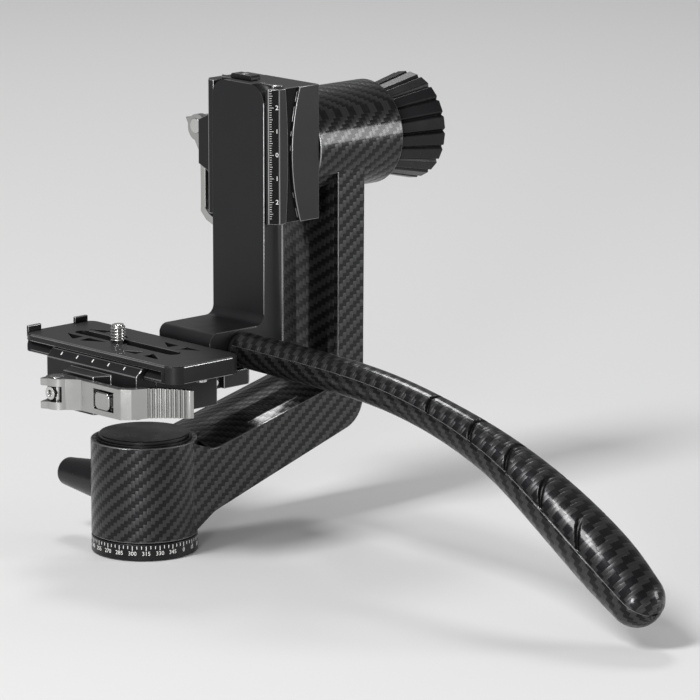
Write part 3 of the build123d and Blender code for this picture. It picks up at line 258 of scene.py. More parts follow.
@dataclass(frozen=True)
class Finish:
    """Plain surface: a colour with painted shade in its crevices and, where an edge colour is given, a
    painted highlight along sharp edges; a roughness and a fine grain. Lengths are in metres.
    """

    name: str
    base: Rgb
    roughness: float
    metallic: float = 0.0
    # colour of the painted highlight along sharp edges, or None for none
    edge: Rgb | None = None
    edge_radius: float = 0.3 * MM
    grain: float = 0.3 * MM
    relief: float = 0.01 * MM
    drift: float = 0.08
    tone: Span = (0.92, 1.08)
    coat: float = 0.0
    coat_roughness: float = 0.05
    specular: float = 0.5
    # painted shade: ambient occlusion darkens the colour in crevices within this reach
    painted_shade_reach: float = 1.4 * MM
    painted_shade_span: Span = (0.35, 0.9)
    painted_shade_tone: Span = (0.15, 1.0)

    def material(self) -> bpy.types.Material:
        """The finish as a material, made at its first use."""
        made = bpy.data.materials.get(self.name)
        if made is None:
            made = bpy.data.materials.new(self.name)
            made.use_nodes = True
            made.node_tree.nodes.clear()
            graph = Graph(made.node_tree)
            shader = graph.add("ShaderNodeBsdfPrincipled", {
                "Metallic": self.metallic, "Coat Weight": self.coat, "Coat Roughness": self.coat_roughness,
                "Specular IOR Level": self.specular})
            self.paint(graph, shader)
            graph.add("ShaderNodeOutputMaterial", {0: shader.outputs[0]})
        return made

    def paint(self, graph: Graph, shader: bpy.types.Node) -> None:
        """Feed the shader's colour, roughness and normal.

        Args:
            graph: The material's nodes.
            shader: Its Principled BSDF.
        """
        place = graph.add("ShaderNodeTexCoord").outputs["Object"]
        grain = FineGrain.place(graph, Place=place, Grain=self.grain)
        drift = grain.outputs["Drift"]
        bump = graph.add("ShaderNodeBump", {"Distance": self.relief, "Height": grain.outputs["Height"]})
        colour: object = self.base
        # painted highlight: a lighter edge colour is mixed in along sharp edges
        if self.edge is not None:
            edge_highlight = EdgeHighlight.place(graph, Radius=self.edge_radius, Breakup=drift)
            colour = graph.mix(edge_highlight.outputs["Edge"], (*self.base, 1.0), (*self.edge, 1.0), "RGBA")
            rounded = graph.add("ShaderNodeBevel", {"Radius": self.edge_radius}, samples=BEVEL_SAMPLES)
            graph.feed(bump, {"Normal": rounded.outputs[0]})
        # painted shade: the colour is darkened where ambient occlusion finds crevices and hollows
        painted_shade_ao = graph.add("ShaderNodeAmbientOcclusion", {"Distance": self.painted_shade_reach}, samples=PAINTED_SHADE_SAMPLES)
        shadow = graph.spread(painted_shade_ao.outputs["AO"], self.painted_shade_span, self.painted_shade_tone)
        tone = graph.math("MULTIPLY", graph.spread(drift, NOISE_SPAN, self.tone), shadow)
        shade = graph.add("ShaderNodeVectorMath", {0: colour, "Scale": tone}, operation="SCALE")
        rough = graph.spread(drift, NOISE_SPAN, (self.roughness - self.drift, self.roughness + self.drift))
        graph.feed(shader, {"Base Color": shade.outputs[0], "Roughness": rough, "Normal": bump.outputs[0]})


@dataclass(frozen=True)
class Carbon(Finish):
    """Woven carbon fibre under clear lacquer, on a piece that carries a cloth map."""

    tow: float = 1.43 * MM
    # painted sheen: the weft's colour, darker than the warp's base colour, stands in for how the tows reflect
    # light
    shaded_weft: Rgb = (0.008, 0.008, 0.009)
    bright_streaks: Span = (0.75, 1.25)
    dark_streaks: Span = (0.7, 1.5)
    weft_roughness: float = 0.12
    # painted shade: the colour that the handle's grooves get
    groove: Rgb = (0.004, 0.004, 0.004)
    groove_coat: float = 0.1
    weave_depth: float = 0.09 * MM

    def paint(self, graph: Graph, shader: bpy.types.Node) -> None:
        """Warp painted bright and weft painted dark as a painted sheen, with fibre streaks, painted shade in
        the grooves, and a bump for the tows.

        Args:
            graph: The material's nodes.
            shader: Its Principled BSDF.
        """
        cloth = graph.add("ShaderNodeUVMap", uv_map="cloth")
        weave = TwillWeave.place(graph, Cloth=cloth.outputs[0], Tow=self.tow)
        warp = weave.outputs["Warp"]
        streak = graph.spread(weave.outputs["Fibre"], NOISE_SPAN)

        def streaked(colour: Rgb, shares: Span) -> bpy.types.NodeSocket:
            """A colour between two shares of it, by the fibre streaks."""
            low, high = ((*(share * part for part in colour), 1.0) for share in shares)
            return graph.mix(streak, low, high, "RGBA")

        # painted sheen: warp and weft are the same fibre, coloured light and dark
        shaded_weft_colour = streaked(self.shaded_weft, self.dark_streaks)
        woven_with_painted_sheen = graph.mix(warp, shaded_weft_colour, streaked(self.base, self.bright_streaks), "RGBA")
        # painted shade: this attribute darkens the colour in the handle's grooves
        groove_shade = graph.add("ShaderNodeAttribute", attribute_name="groove_shade").outputs["Fac"]
        bump = graph.add("ShaderNodeBump", {"Distance": self.weave_depth, "Height": weave.outputs["Height"]})
        graph.feed(shader, {
            "Base Color": graph.mix(groove_shade, woven_with_painted_sheen, (*self.groove, 1.0), "RGBA"),
            "Roughness": graph.mix(warp, self.roughness + self.weft_roughness, self.roughness),
            "Coat Weight": graph.mix(groove_shade, self.coat, self.groove_coat), "Normal": bump.outputs[0]})


class Look(Enum):
    """Every finish on the head."""

    # the carbon's base colour is the warp's side of the painted sheen
    CARBON = Carbon("lacquered carbon twill", (0.044, 0.044, 0.0455), 0.36, metallic=0.8, coat=0.35,
                    coat_roughness=0.13, specular=0.2)
    # the edge colours of BLACK, SATIN and STEEL are a painted highlight along sharp edges
    BLACK = Finish("black anodised aluminium", (0.009, 0.009, 0.010), 0.42, edge=(0.09, 0.09, 0.095),
                   specular=0.25)
    SATIN = Finish("satin black aluminium", (0.006, 0.006, 0.007), 0.28, edge=(0.10, 0.10, 0.105),
                   specular=0.3)
    # painted shade: darker matt black for the recess and the scale's chamfer of the upper clamp
    MATT_SHADE = Finish("matt black painted shade", (0.005, 0.005, 0.005), 0.6, specular=0.1)
    # painted highlight: light grey on the rounded edges of black machined parts
    METAL_EDGE_HIGHLIGHT = Finish("painted highlight on aluminium edge", (0.30, 0.30, 0.305), 0.28, metallic=0.8)
    SILVER = Finish("polished cast aluminium", (0.42, 0.42, 0.412), 0.2, metallic=1.0, grain=0.6 * MM,
                    drift=0.04)
    # the cut steel's painted shade in crevices reaches only 0.9 mm
    CUT_STEEL = Finish("cut steel", (0.74, 0.74, 0.73), 0.2, metallic=1.0, grain=0.4 * MM, painted_shade_reach=0.9 * MM)
    STEEL = Finish("turned steel", (0.62, 0.62, 0.61), 0.22, metallic=1.0, edge=(0.8, 0.8, 0.8),
                   grain=0.4 * MM)
    BRASS = Finish("turned brass", (0.70, 0.52, 0.22), 0.25, metallic=1.0)
    POLYMER = Finish("friction polymer", (0.22, 0.18, 0.11), 0.55)
    CORE = Finish("laminate core", (0.03, 0.03, 0.03), 0.6)
    # painted highlight: light grey on the rounded edges of the carbon arm and on the lips along the handle's
    # seam
    CARBON_EDGE_HIGHLIGHT = Finish("painted highlight on carbon edge", (0.22, 0.22, 0.22), 0.25, metallic=0.6, coat=0.5)
    INK = Finish("white engraving fill", (0.78, 0.78, 0.76), 0.5, relief=0.004 * MM)

    def material(self) -> bpy.types.Material:
        """This finish's material."""
        return self.value.material()


def dress(look: Look, *nodes: str) -> None:
    """Give solids of the frame their finish.

    Args:
        look: The finish.
        *nodes: Names of the solids.
    """
    for name in nodes:
        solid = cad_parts[name]
        if not solid.material_slots:
            solid.data.materials.append(None)
        for slot in solid.material_slots:
            slot.material = look.material()
        LOG.info("%s: %s", name, look.value.name)


# ---- mesh helpers ----

@dataclass(frozen=True)
class Corners:
    """Each face corner of a mesh: its point, and the normal, the middle and the number of its face."""

    point: np.ndarray
    normal: np.ndarray
    middle: np.ndarray
    face: np.ndarray


Mapping = Callable[[Corners], np.ndarray]


def placed(name: str, data: bpy.types.ID) -> bpy.types.Object:
    """Make an object and link it to the scene.

    Args:
        name: Its name.
        data: Its mesh, curve, lamp or camera.

    Returns:
        The new object.
    """
    made = bpy.data.objects.new(name, data)
    bpy.context.scene.collection.objects.link(made)
    return made


def fetch(rows: bpy.types.bpy_prop_collection, key: str, width: int = 1, kind: type = float) -> np.ndarray:
    """Read one property of every vertex, edge, corner or face of a mesh.

    Args:
        rows: The mesh's collection.
        key: The property.
        width: How many numbers it has.
        kind: float or int.

    Returns:
        One number, or one row of numbers, for each.
    """
    values = np.zeros(len(rows) * width, kind)
    rows.foreach_get(key, values)
    return values if width == 1 else values.reshape(-1, width)


def piece(name: str, points: np.ndarray, faces: np.ndarray | list, look: Look, body: str,
          smooth: float | None = None) -> bpy.types.Object:
    """Make a new piece from arrays and put it on a body.

    Args:
        name: The piece's name.
        points: Vertices in metres, one row each.
        faces: Vertex numbers, one row for each face.
        look: Its finish.
        body: The body it rides on.
        smooth: Angle in degrees above which an edge stays sharp, or None for flat faces.

    Returns:
        The new object.
    """
    mesh = bpy.data.meshes.new(name)
    rows = faces.tolist() if isinstance(faces, np.ndarray) else faces
    mesh.from_pydata(points.tolist(), [], rows)
    mesh.update()
    if smooth is not None:
        mesh.shade_smooth()
        mesh.set_sharp_from_angle(angle=math.radians(smooth))
    mesh.materials.append(look.material())
    made = placed(name, mesh)
    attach(made, body)
    LOG.info("%s: %d faces on %s", name, len(mesh.polygons), body)
    return made


def grid_faces(rows: int, columns: int) -> np.ndarray:
    """Quads of a grid of points, row after row, whose last column joins its first.

    Args:
        rows: Number of rows.
        columns: Points in a row.

    Returns:
        One row of four vertex numbers for each quad.
    """
    row, column = np.meshgrid(np.arange(rows - 1), np.arange(columns), indexing="ij")
    near = row * columns + column
    far = row * columns + (column + 1) % columns
    return np.stack([near, far, far + columns, near + columns], axis=-1).reshape(-1, 4)


def tube_faces(rows: int, columns: int) -> list:
    """Quads of a closed grid and then a lid on its first and its last row.

    Args:
        rows: Number of rows.
        columns: Points in a row.

    Returns:
        Vertex numbers of each face.
    """
    first = list(range(columns))[::-1]
    last = list(range((rows - 1) * columns, rows * columns))
    return grid_faces(rows, columns).tolist() + [first, last]


def slabs(centres: np.ndarray, long_way: np.ndarray, wide_way: np.ndarray,
          out_way: np.ndarray) -> tuple[np.ndarray, np.ndarray]:
    """Many thin marks at once, each a block given by its middle and its half edges.

    Args:
        centres: Middles of the outer faces.
        long_way: Half the length, as a vector for each or one for all.
        wide_way: Half the width, likewise.
        out_way: Unit vector out of the surface, likewise.

    Returns:
        Points and quads.
    """
    long_way, wide_way, out_way = (np.broadcast_to(way, centres.shape)[:, None]
                                   for way in (long_way, wide_way, out_way))
    signs = np.array([(-1, -1), (1, -1), (1, 1), (-1, 1)], float)
    top = centres[:, None] + signs[None, :, :1] * long_way + signs[None, :, 1:] * wide_way
    points = np.concatenate([top - MARK_DEPTH * out_way, top], axis=1).reshape(-1, 3)
    cell = np.array([(0, 3, 2, 1), (4, 5, 6, 7), (0, 1, 5, 4), (1, 2, 6, 5), (2, 3, 7, 6), (3, 0, 4, 7)])
    return points, (np.arange(len(centres))[:, None, None] * 2 * len(signs) + cell).reshape(-1, 4)


def lettering(text: str, height: float) -> tuple[np.ndarray, list]:
    """Flat outline of a number, centred, as a thin solid.

    Args:
        text: The digits.
        height: Cap height in metres.

    Returns:
        Points (x right, y up, z out) and faces.
    """
    curve = bpy.data.curves.new("digits", "FONT")
    curve.body, curve.align_x, curve.align_y = text, "CENTER", "CENTER"
    curve.size, curve.extrude, curve.resolution_u = height / CAP_SHARE, LETTER_DEPTH, LETTER_CURVE
    holder = placed("digits", curve)
    made = bpy.data.meshes.new_from_object(holder.evaluated_get(bpy.context.evaluated_depsgraph_get()))
    points = fetch(made.vertices, "co", 3)
    faces = [list(face.vertices) for face in made.polygons]
    bpy.data.objects.remove(holder)
    bpy.data.curves.remove(curve)
    bpy.data.meshes.remove(made)
    return points, faces


def join(parts: list[tuple[np.ndarray, list]]) -> tuple[np.ndarray, list]:
    """Put several meshes into one.

    Args:
        parts: Points and faces of each.

    Returns:
        All points, and the faces with their numbers moved on to match.
    """
    faces, offset = [], 0
    for points, rows in parts:
        faces += [[index + offset for index in row] for row in rows]
        offset += len(points)
    return np.concatenate([points for points, _ in parts]), faces


def mark_edges(mesh: bpy.types.Mesh, corners: Corners, width: float, sharp: float) -> None:
    """Weigh the edges to round: outward ones between two faces, sharper than an angle and long enough.

    Args:
        mesh: The mesh.
        corners: Its face corners.
        width: Rounding radius in metres.
        sharp: Least angle in degrees.
    """
    edge_of = fetch(mesh.loops, "edge_index", kind=int)
    order = np.argsort(edge_of, kind="stable")
    start = np.searchsorted(edge_of[order], np.arange(len(mesh.edges)))
    shared = np.bincount(edge_of, minlength=len(mesh.edges)) == 2
    first, second = (order[np.minimum(start + use, len(order) - 1)] for use in (0, 1))
    ends = fetch(mesh.vertices, "co", 3)[fetch(mesh.edges, "vertices", 2, int)]
    cosine = np.sum(corners.normal[first] * corners.normal[second], axis=1)
    outward = np.sum((corners.middle[second] - ends[:, 0]) * corners.normal[first], axis=1) < 0.0
    chosen = shared & outward & (cosine < math.cos(math.radians(sharp))) & (cosine > FOLD_COSINE)
    chosen &= np.linalg.norm(ends[:, 1] - ends[:, 0], axis=1) > LEAST_EDGE * width
    weights = mesh.attributes.new("bevel_weight_edge", "FLOAT", "EDGE")
    weights.data.foreach_set("value", chosen.astype(np.float32))


def merged(node: str, look: Look, body: str, edge: float, sharp: float = 32.0,
           cloth: Mapping | None = None, matt: Mapping | None = None, rim: Look | None = None) -> None:
    """Stand a merged copy of a solid, with its outward edges rounded, in the solid's place.

    Args:
        node: The solid's name.
        look: Its finish.
        body: The body it rides on.
        edge: Radius of the rounded edges in metres.
        sharp: Angle in degrees above which an edge is rounded or stays sharp.
        cloth: Gives the cloth map.
        matt: Tells which corners' faces have the matt ground, a darker colour that is painted shade.
        rim: Finish of the rounded edges, where it differs.
    """
    mesh = bpy.data.meshes.new(f"{node}_finished")
    work = bmesh.new()
    work.from_mesh(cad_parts[node].data)
    bmesh.ops.remove_doubles(work, verts=work.verts, dist=MERGE_DISTANCE)
    bmesh.ops.dissolve_limit(work, angle_limit=FLAT_ANGLE, verts=work.verts, edges=work.edges)
    work.to_mesh(mesh)
    work.free()
    totals = fetch(mesh.polygons, "loop_total", kind=int)
    face = np.repeat(np.arange(len(totals)), totals)
    corners = Corners(fetch(mesh.vertices, "co", 3)[fetch(mesh.loops, "vertex_index", kind=int)],
                      fetch(mesh.polygons, "normal", 3)[face], fetch(mesh.polygons, "center", 3)[face], face)
    mark_edges(mesh, corners, edge, sharp)
    if cloth is not None:
        mesh.uv_layers.new(name="cloth").data.foreach_set("uv", cloth(corners).reshape(-1))
    mesh.shade_smooth()
    mesh.set_sharp_from_angle(angle=math.radians(sharp))
    mesh.materials.append(look.material())
    mesh.materials.append((rim or look).material())
    # painted shade: the faces that matt tells get the darker matt ground
    if matt is not None:
        mesh.materials.append(Look.MATT_SHADE.material())
        first = np.cumsum(totals) - totals
        mesh.polygons.foreach_set("material_index", np.where(matt(corners)[first], SHADE_SLOT, 0))
    made = placed(f"{node}_finished", mesh)
    rounding = made.modifiers.new("rounded edges", "BEVEL")
    rounding.width, rounding.segments, rounding.limit_method = edge, ROUND_SEGMENTS, "WEIGHT"
    rounding.use_clamp_overlap, rounding.material = False, RIM_SLOT
    made.modifiers.new("even normals", "WEIGHTED_NORMAL").keep_sharp = True
    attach(made, body)
    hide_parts(node)
    LOG.info("%s: %d faces", made.name, len(totals))


def machined(node: str, body: str, edge: float, matt: Mapping | None = None) -> None:
    """Finish a black machined solid, whose rounded edges get a light grey as a painted highlight."""
    merged(node, Look.BLACK, body, edge, matt=matt, rim=Look.METAL_EDGE_HIGHLIGHT)


# ---- panning base ----

@dataclass
class PanBase:
    """Scale ring with its degree marks, and what the arm turns on."""

    ring_radius: float = 22.3 * MM
    mark_each: int = 5
    number_each: int = 15
    tick_top: float = 6.45 * MM
    tick_short: float = 1.3 * MM
    tick_long: float = 1.9 * MM
    tick_width: float = 0.28 * MM
    number_height: float = 1.7 * MM
    number_middle: float = 3.2 * MM
    zero_turn: float = 5.7

    def marks(self) -> None:
        """A short line at each mark and a long one at each number, round the ring."""
        degrees = np.arange(0, 360, self.mark_each)
        turn = np.radians(degrees + self.zero_turn)
        out = np.stack([np.sin(turn), -np.cos(turn), np.zeros_like(turn)], axis=-1)
        length = np.where(degrees % self.number_each == 0, self.tick_long, self.tick_short)
        centre = out * (self.ring_radius + MARK_PROUD) + np.outer(self.tick_top - length / 2, UP)
        points, faces = slabs(centre, -np.cross(out, UP) * self.tick_width / 2, np.outer(length / 2, UP), out)
        piece("scale_ring_marks", points, faces, Look.INK, "pan_base")

    def numbers(self) -> None:
        """Degrees at each long mark, wrapped round the ring."""
        made = []
        for degree in range(0, 360, self.number_each):
            points, faces = lettering(str(degree), self.number_height)
            turn = math.radians(degree + self.zero_turn) + points[:, 0] / self.ring_radius
            radius = self.ring_radius + MARK_PROUD + points[:, 2]
            height = self.number_middle + points[:, 1]
            made.append((np.stack([radius * np.sin(turn), -radius * np.cos(turn), height], axis=-1), faces))
        points, faces = join(made)
        piece("scale_ring_numbers", points, faces, Look.INK, "pan_base")

    def build(self) -> None:
        """Dress the base's solids and add its marks."""
        dress(Look.SATIN, "scale_ring")
        dress(Look.BLACK, "base_plate")
        dress(Look.STEEL, "tripod_bush", "pan_spindle", "base_screws", "preload_washer", "spindle_nut")
        self.marks()
        self.numbers()


# ---- arm ----

@dataclass(frozen=True)
class Elbow:
    """Where the limb's line meets the upright's, on the upper or the under side of the arm.

    The limb has a slope, the rounded bend shortens the way by a length, and face is -1 for the side that
    faces the cradle and 1 for the other.
    """

    slope: float
    corner: tuple[float, float]
    bend: float
    face: float

    def run(self, corners: Corners) -> np.ndarray:
        """Distance past the corner: along the limb before it, and up the upright after it.

        Args:
            corners: Face corners of the arm's shell.

        Returns:
            Distances in metres.
        """
        x, z = corners.point[:, 0] - self.corner[0], corners.point[:, 2] - self.corner[1]
        toward, rise = self.face * corners.normal[:, 0], self.face * corners.normal[:, 2]
        on_upright = toward > toward * math.sin(self.slope) - rise * math.cos(self.slope)
        return np.where(on_upright, z - self.bend, x * math.cos(self.slope) + z * math.sin(self.slope))


@dataclass
class Arm:
    """Carbon arm with its cloth laid round the base cylinder, along the limb and round the hub."""

    base_radius: float = 22.3 * MM
    base_stretch: float = 1.15
    hub_radius: float = 22.5 * MM
    hub_height: float = 162.5 * MM
    hub_stretch: float = 1.4
    hub_draw: float = 1.1
    hub_overlap: float = math.radians(38.0)
    on_cylinder: float = 0.2 * MM
    side_lean: float = 0.7
    side_stretch: float = 1.39
    crown_stretch: float = 1.49
    upper: Elbow = Elbow(math.radians(13.6), (92.8 * MM, 59.53 * MM), 2.0 * MM, -1.0)
    under: Elbow = Elbow(math.radians(17.3), (107.6 * MM, 42.46 * MM), 4.0 * MM, 1.0)
    edge: float = 0.45 * MM
    sharp: float = 40.0

    def cloth(self, corners: Corners) -> np.ndarray:
        """Cloth map of each corner, by the form that its face belongs to.

        Args:
            corners: Face corners of the arm's shell.

        Returns:
            Cloth coordinates in metres.
        """
        x, y, z = corners.point.T
        nx, ny, nz = corners.normal.T
        middle_x, middle_y, middle_z = corners.middle.T
        lift = z - self.hub_height

        def all_near(distance: np.ndarray, radius: float) -> np.ndarray:
            """Whether every corner of a face lies on a cylinder."""
            worst = np.zeros(corners.face[-1] + 1)
            np.maximum.at(worst, corners.face, np.abs(distance - radius))
            return (worst < self.on_cylinder)[corners.face]

        def wrapped(angle: np.ndarray, middle: np.ndarray) -> np.ndarray:
            """Angles brought to the same turn as their face's middle."""
            return angle + 2 * math.pi * np.round((middle - angle) / (2 * math.pi))

        on_hub = all_near(np.hypot(y, lift), self.hub_radius)
        on_base = all_near(np.hypot(x, y), self.base_radius)
        hub_turn = wrapped(np.arctan2(lift, -y), np.arctan2(middle_z - self.hub_height, -middle_y))
        hub_turn = self.hub_overlap - np.abs(hub_turn - self.hub_overlap)
        pan_turn = wrapped(np.arctan2(x, -y), np.arctan2(middle_x, -middle_y))
        facing = np.where(nz - nx > 0, -1.0, 1.0)
        crown = np.where(facing < 0, self.upper.run(corners), self.under.run(corners))
        side = np.abs(ny) > self.side_lean
        across = np.select([on_base, on_hub, side], [
            self.base_radius * pan_turn / self.base_stretch, x / self.hub_stretch,
            -np.sign(ny) * x / self.side_stretch], facing * y / self.crown_stretch)
        along = np.select([on_base, on_hub, side], [z, self.hub_radius * hub_turn / self.hub_draw, z], crown)
        return np.stack([across, along], axis=-1)

    def build(self) -> None:
        """Lay the cloth and dress the arm's other solids and the pan lock in its base."""
        # the shell's rounded edges get the painted edge highlight
        merged("arm_shell", Look.CARBON, "arm", self.edge, self.sharp, self.cloth,
               rim=Look.CARBON_EDGE_HIGHLIGHT)
        dress(Look.CORE, "arm_core")
        dress(Look.BLACK, "pan_housing", "shoe_guide", "cap_seat_ring", "hub_sleeve")
        dress(Look.SATIN, "pan_cap", "pan_lock_knob")
        dress(Look.BRASS, "pan_lock_bush")
        dress(Look.STEEL, "pan_bearing_lower", "pan_bearing_upper", "pan_lock_stud", "tilt_bearing_inner",
              "tilt_bearing_outer")
        dress(Look.POLYMER, "pan_brake_shoe")


# ---- tilt ----

@dataclass
class Tilt:
    """Shaft, pressure ring and fluted knob."""

    flute_edge: float = 0.2 * MM

    def build(self) -> None:
        """Round the flutes' edges and dress the other solids."""
        merged("tilt_knob", Look.SATIN, "knob", self.flute_edge)
        dress(Look.STEEL, "tilt_shaft", "pressure_ring")
        dress(Look.SATIN, "knob_end_disc")
        dress(Look.BRASS, "knob_insert")


# ---- clamps ----

@dataclass
class Clamp:
    """Lever clamp: a body, a jaw that its cam lever draws in, and the works between them."""

    side: str
    body: str
    edge: float = 0.3 * MM
    lever_sharp: float = 20.0

    def jaws(self, matt: Mapping | None = None) -> None:
        """Finish the body, whose matt ground of painted shade may be told, and the jaw."""
        machined(f"{self.side}_clamp_body", self.body, self.edge, matt)
        machined(f"{self.side}_clamp_jaw", f"{self.side}_jaw", self.edge)

    def lever(self) -> None:
        """Finish the cam lever with its lock button, and dress what it pulls."""
        merged(f"{self.side}_clamp_lever", Look.SILVER, f"{self.side}_lever", self.edge,
               self.lever_sharp)
        dress(Look.SILVER, f"{self.side}_clamp_lock_button")
        dress(Look.STEEL, *(f"{self.side}_clamp_{part}" for part in ("tie_rod", "barrel_nut", "trunnion")))


@dataclass
class UpperClamp(Clamp):
    """Clamp on the tilt shaft, with a millimetre scale on its chamfer."""

    side: str = "upper"
    body: str = "tilt"
    chamfer_inner: tuple[float, float, float] = (54.2 * MM, -18.2 * MM, 0.0)
    chamfer_outer: tuple[float, float, float] = (57.5 * MM, -21.5 * MM, 0.0)
    chamfer_lean: float = 0.6
    recess_y: Span = (-21.3 * MM, -20.2 * MM)
    recess_x: float = 58.5 * MM
    first_number: float = 183.0 * MM
    number_texts: tuple[str, ...] = ("2", "1", "0", "1", "2")
    number_gap: float = 10 * MM
    number_height: float = 1.9 * MM
    number_across: float = 3.6 * MM
    line_steps: tuple[int, int] = (-47, 8)
    line_margin: float = 0.5 * MM
    line_lengths: tuple[float, float, float] = (1.7 * MM, 1.3 * MM, 0.9 * MM)
    line_half_width: float = 0.08 * MM

    def chamfer(self) -> tuple[np.ndarray, np.ndarray, np.ndarray]:
        """Inner edge of the chamfer, the unit vector across it, and the one out of it."""
        start = np.array(self.chamfer_inner)
        across = np.array(self.chamfer_outer) - start
        across = across / np.linalg.norm(across)
        return start, across, np.cross(across, UP)

    def scale(self) -> None:
        """A line each millimetre, longer at five and ten, from the chamfer's inner edge."""
        start, across, out = self.chamfer()
        steps = np.arange(*self.line_steps)
        tens, fives, ones = self.line_lengths
        length = np.where(steps % 10 == 0, tens, np.where(steps % 5 == 0, fives, ones))
        centre = (start + np.outer(self.line_margin + length / 2, across)
                  + np.outer(self.first_number + steps * MM, UP) + out * MARK_PROUD)
        points, faces = slabs(centre, np.outer(length / 2, across), self.line_half_width * np.array(UP), out)
        piece("upper_clamp_scale", points, faces, Look.INK, "tilt")

    def numbers(self) -> None:
        """Numbers each ten millimetres beside the scale."""
        start, across, out = self.chamfer()
        axes = np.stack([across, UP, out])
        made = []
        for index, text in enumerate(self.number_texts):
            points, faces = lettering(text, self.number_height)
            height = self.first_number - index * self.number_gap
            middle = start + across * self.number_across + np.array(UP) * height + out * MARK_PROUD
            made.append((middle + points @ axes, faces))
        points, faces = join(made)
        piece("upper_clamp_numbers", points, faces, Look.INK, "tilt")

    def ground(self, corners: Corners) -> np.ndarray:
        """Whether a face is in the hourglass recess, a little behind the -Y side, or is the scale's chamfer:
        these get the matt ground, darker as painted shade.

        Args:
            corners: Face corners of the body.

        Returns:
            True or False for each corner.
        """
        x, y, _ = corners.middle.T
        recess = (y > self.recess_y[0]) & (y < self.recess_y[1]) & (x > self.recess_x)
        return recess | np.all(corners.normal[:, :2] < -self.chamfer_lean, axis=1)

    def build(self) -> None:
        """Dress its solids and add its scale."""
        self.jaws(self.ground)
        self.lever()
        dress(Look.STEEL, "flange_screws")
        self.scale()
        self.numbers()


@dataclass
class LowerClamp(Clamp):
    """Clamp and platform under the camera plate, with marks on its jaw's chamfer."""

    side: str = "lower"
    body: str = "rail"
    chamfer_outer: tuple[float, float, float] = (-22.8 * MM, 0.0, 80.3 * MM)
    chamfer_inner: tuple[float, float, float] = (-19.6 * MM, 0.0, 83.5 * MM)
    mark_first: float = -22.2 * MM
    mark_gap: float = 10 * MM
    mark_count: int = 6
    mark_middle: float = 0.62
    mark_half_length: float = 0.16
    mark_half_width: float = 0.3 * MM

    def marks(self) -> None:
        """A line each ten millimetres, its middle and half length as shares of the chamfer's width."""
        low = np.array(self.chamfer_outer)
        rise = np.array(self.chamfer_inner) - low
        along = np.array((0.0, 1.0, 0.0))
        out = np.cross(along, -rise) / np.linalg.norm(rise)
        place = self.mark_first + np.arange(self.mark_count) * self.mark_gap
        centre = low + rise * self.mark_middle + np.outer(place, along) + out * MARK_PROUD
        points, faces = slabs(centre, rise * self.mark_half_length, along * self.mark_half_width, out)
        piece("lower_clamp_marks", points, faces, Look.INK, "lower_jaw")

    def build(self) -> None:
        """Dress its solids and add its marks."""
        self.jaws()
        self.marks()
        self.lever()
        dress(Look.STEEL, "foot_screws", "platform_stop_pin")


@dataclass
class Bracket:
    """L-bracket with its end stop."""

    edge: float = 0.5 * MM
    stop_edge: float = 0.3 * MM

    def build(self) -> None:
        """Dress its solids."""
        machined("l_bracket", "rail", self.edge)
        machined("rail_stop", "rail", self.stop_edge)
        dress(Look.STEEL, "rail_stop_screw")


# ---- camera plate ----

@dataclass
class CameraPlate:
    """Sliding plate with its tabs and the threaded camera screw."""

    edge: float = 0.25 * MM
    tab_edge: float = 0.2 * MM
    screw_y: float = 16.0 * MM
    foot_radius: float = 0.6 * MM
    head_low: float = 79.6 * MM
    head_high: float = 81.5 * MM
    head_radius: float = 5.6 * MM
    neck_radius: float = 2.5 * MM
    neck_end: float = 86.75 * MM
    thread_low: float = 86.8 * MM
    thread_high: float = 93.7 * MM
    thread_radius: float = 3.175 * MM
    thread_depth: float = 0.62 * MM
    pitch: float = 1.27 * MM
    crest_gain: float = 1.25
    lead_length: float = 0.9 * MM
    lead_depth: float = 0.55 * MM
    turns: int = 48
    rows: int = 96
    smooth: float = 40.0

    def thread(self) -> None:
        """Screw whose radius is its major radius less a wave of height less angle, tapered at its top.

        Its foot, head and neck come first. All of it is x = r cos t, y = r sin t about the screw's axis.
        """
        height = np.linspace(self.thread_low, self.thread_high, self.rows)
        angle = np.linspace(0.0, 2 * math.pi, self.turns, endpoint=False)
        phase = (height[:, None] / self.pitch - angle / (2 * math.pi)) % 1.0
        wave = np.clip(np.abs(2 * phase - 1) * self.crest_gain - (self.crest_gain - 1) / 2, 0.0, 1.0)
        fade = np.clip((self.thread_high - height) / self.lead_length, 0.0, 1.0)[:, None]
        radius = self.thread_radius - self.thread_depth * (1 - wave) - self.lead_depth * (1 - fade)
        foot = np.array([(self.foot_radius, self.head_low), (self.head_radius, self.head_low),
                         (self.head_radius, self.head_high), (self.neck_radius, self.head_high),
                         (self.neck_radius, self.neck_end)])
        radius = np.concatenate([np.repeat(foot[:, :1], self.turns, axis=1), radius])
        height = np.concatenate([foot[:, 1], height])[:, None]
        points = np.stack([radius * np.cos(angle), self.screw_y + radius * np.sin(angle),
                           np.broadcast_to(height, radius.shape)], axis=-1).reshape(-1, 3)
        made = piece("camera_screw_threaded", points, tube_faces(len(height), self.turns), Look.CUT_STEEL,
                     "screw", self.smooth)
        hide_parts("camera_screw")

    def build(self) -> None:
        """Dress its solids and cut the thread."""
        machined("camera_plate", "plate", self.edge)
        machined("anti_twist_tabs", "plate", self.tab_edge)
        dress(Look.STEEL, "safety_stop_screws", "screw_slider")
        self.thread()


# ---- handle ----

@dataclass(frozen=True)
class HalfShell:
    """One half of the handle's skin.

    Its outer face is in from the full radius by inset, and has a number of columns across. The cloth is
    stretch long for each radian across, negative to lay the twill the other way, and pull long for each
    length of handle.
    """

    name: str
    node: str
    inset: float
    columns: int
    grooved: bool
    stretch: float
    pull: float


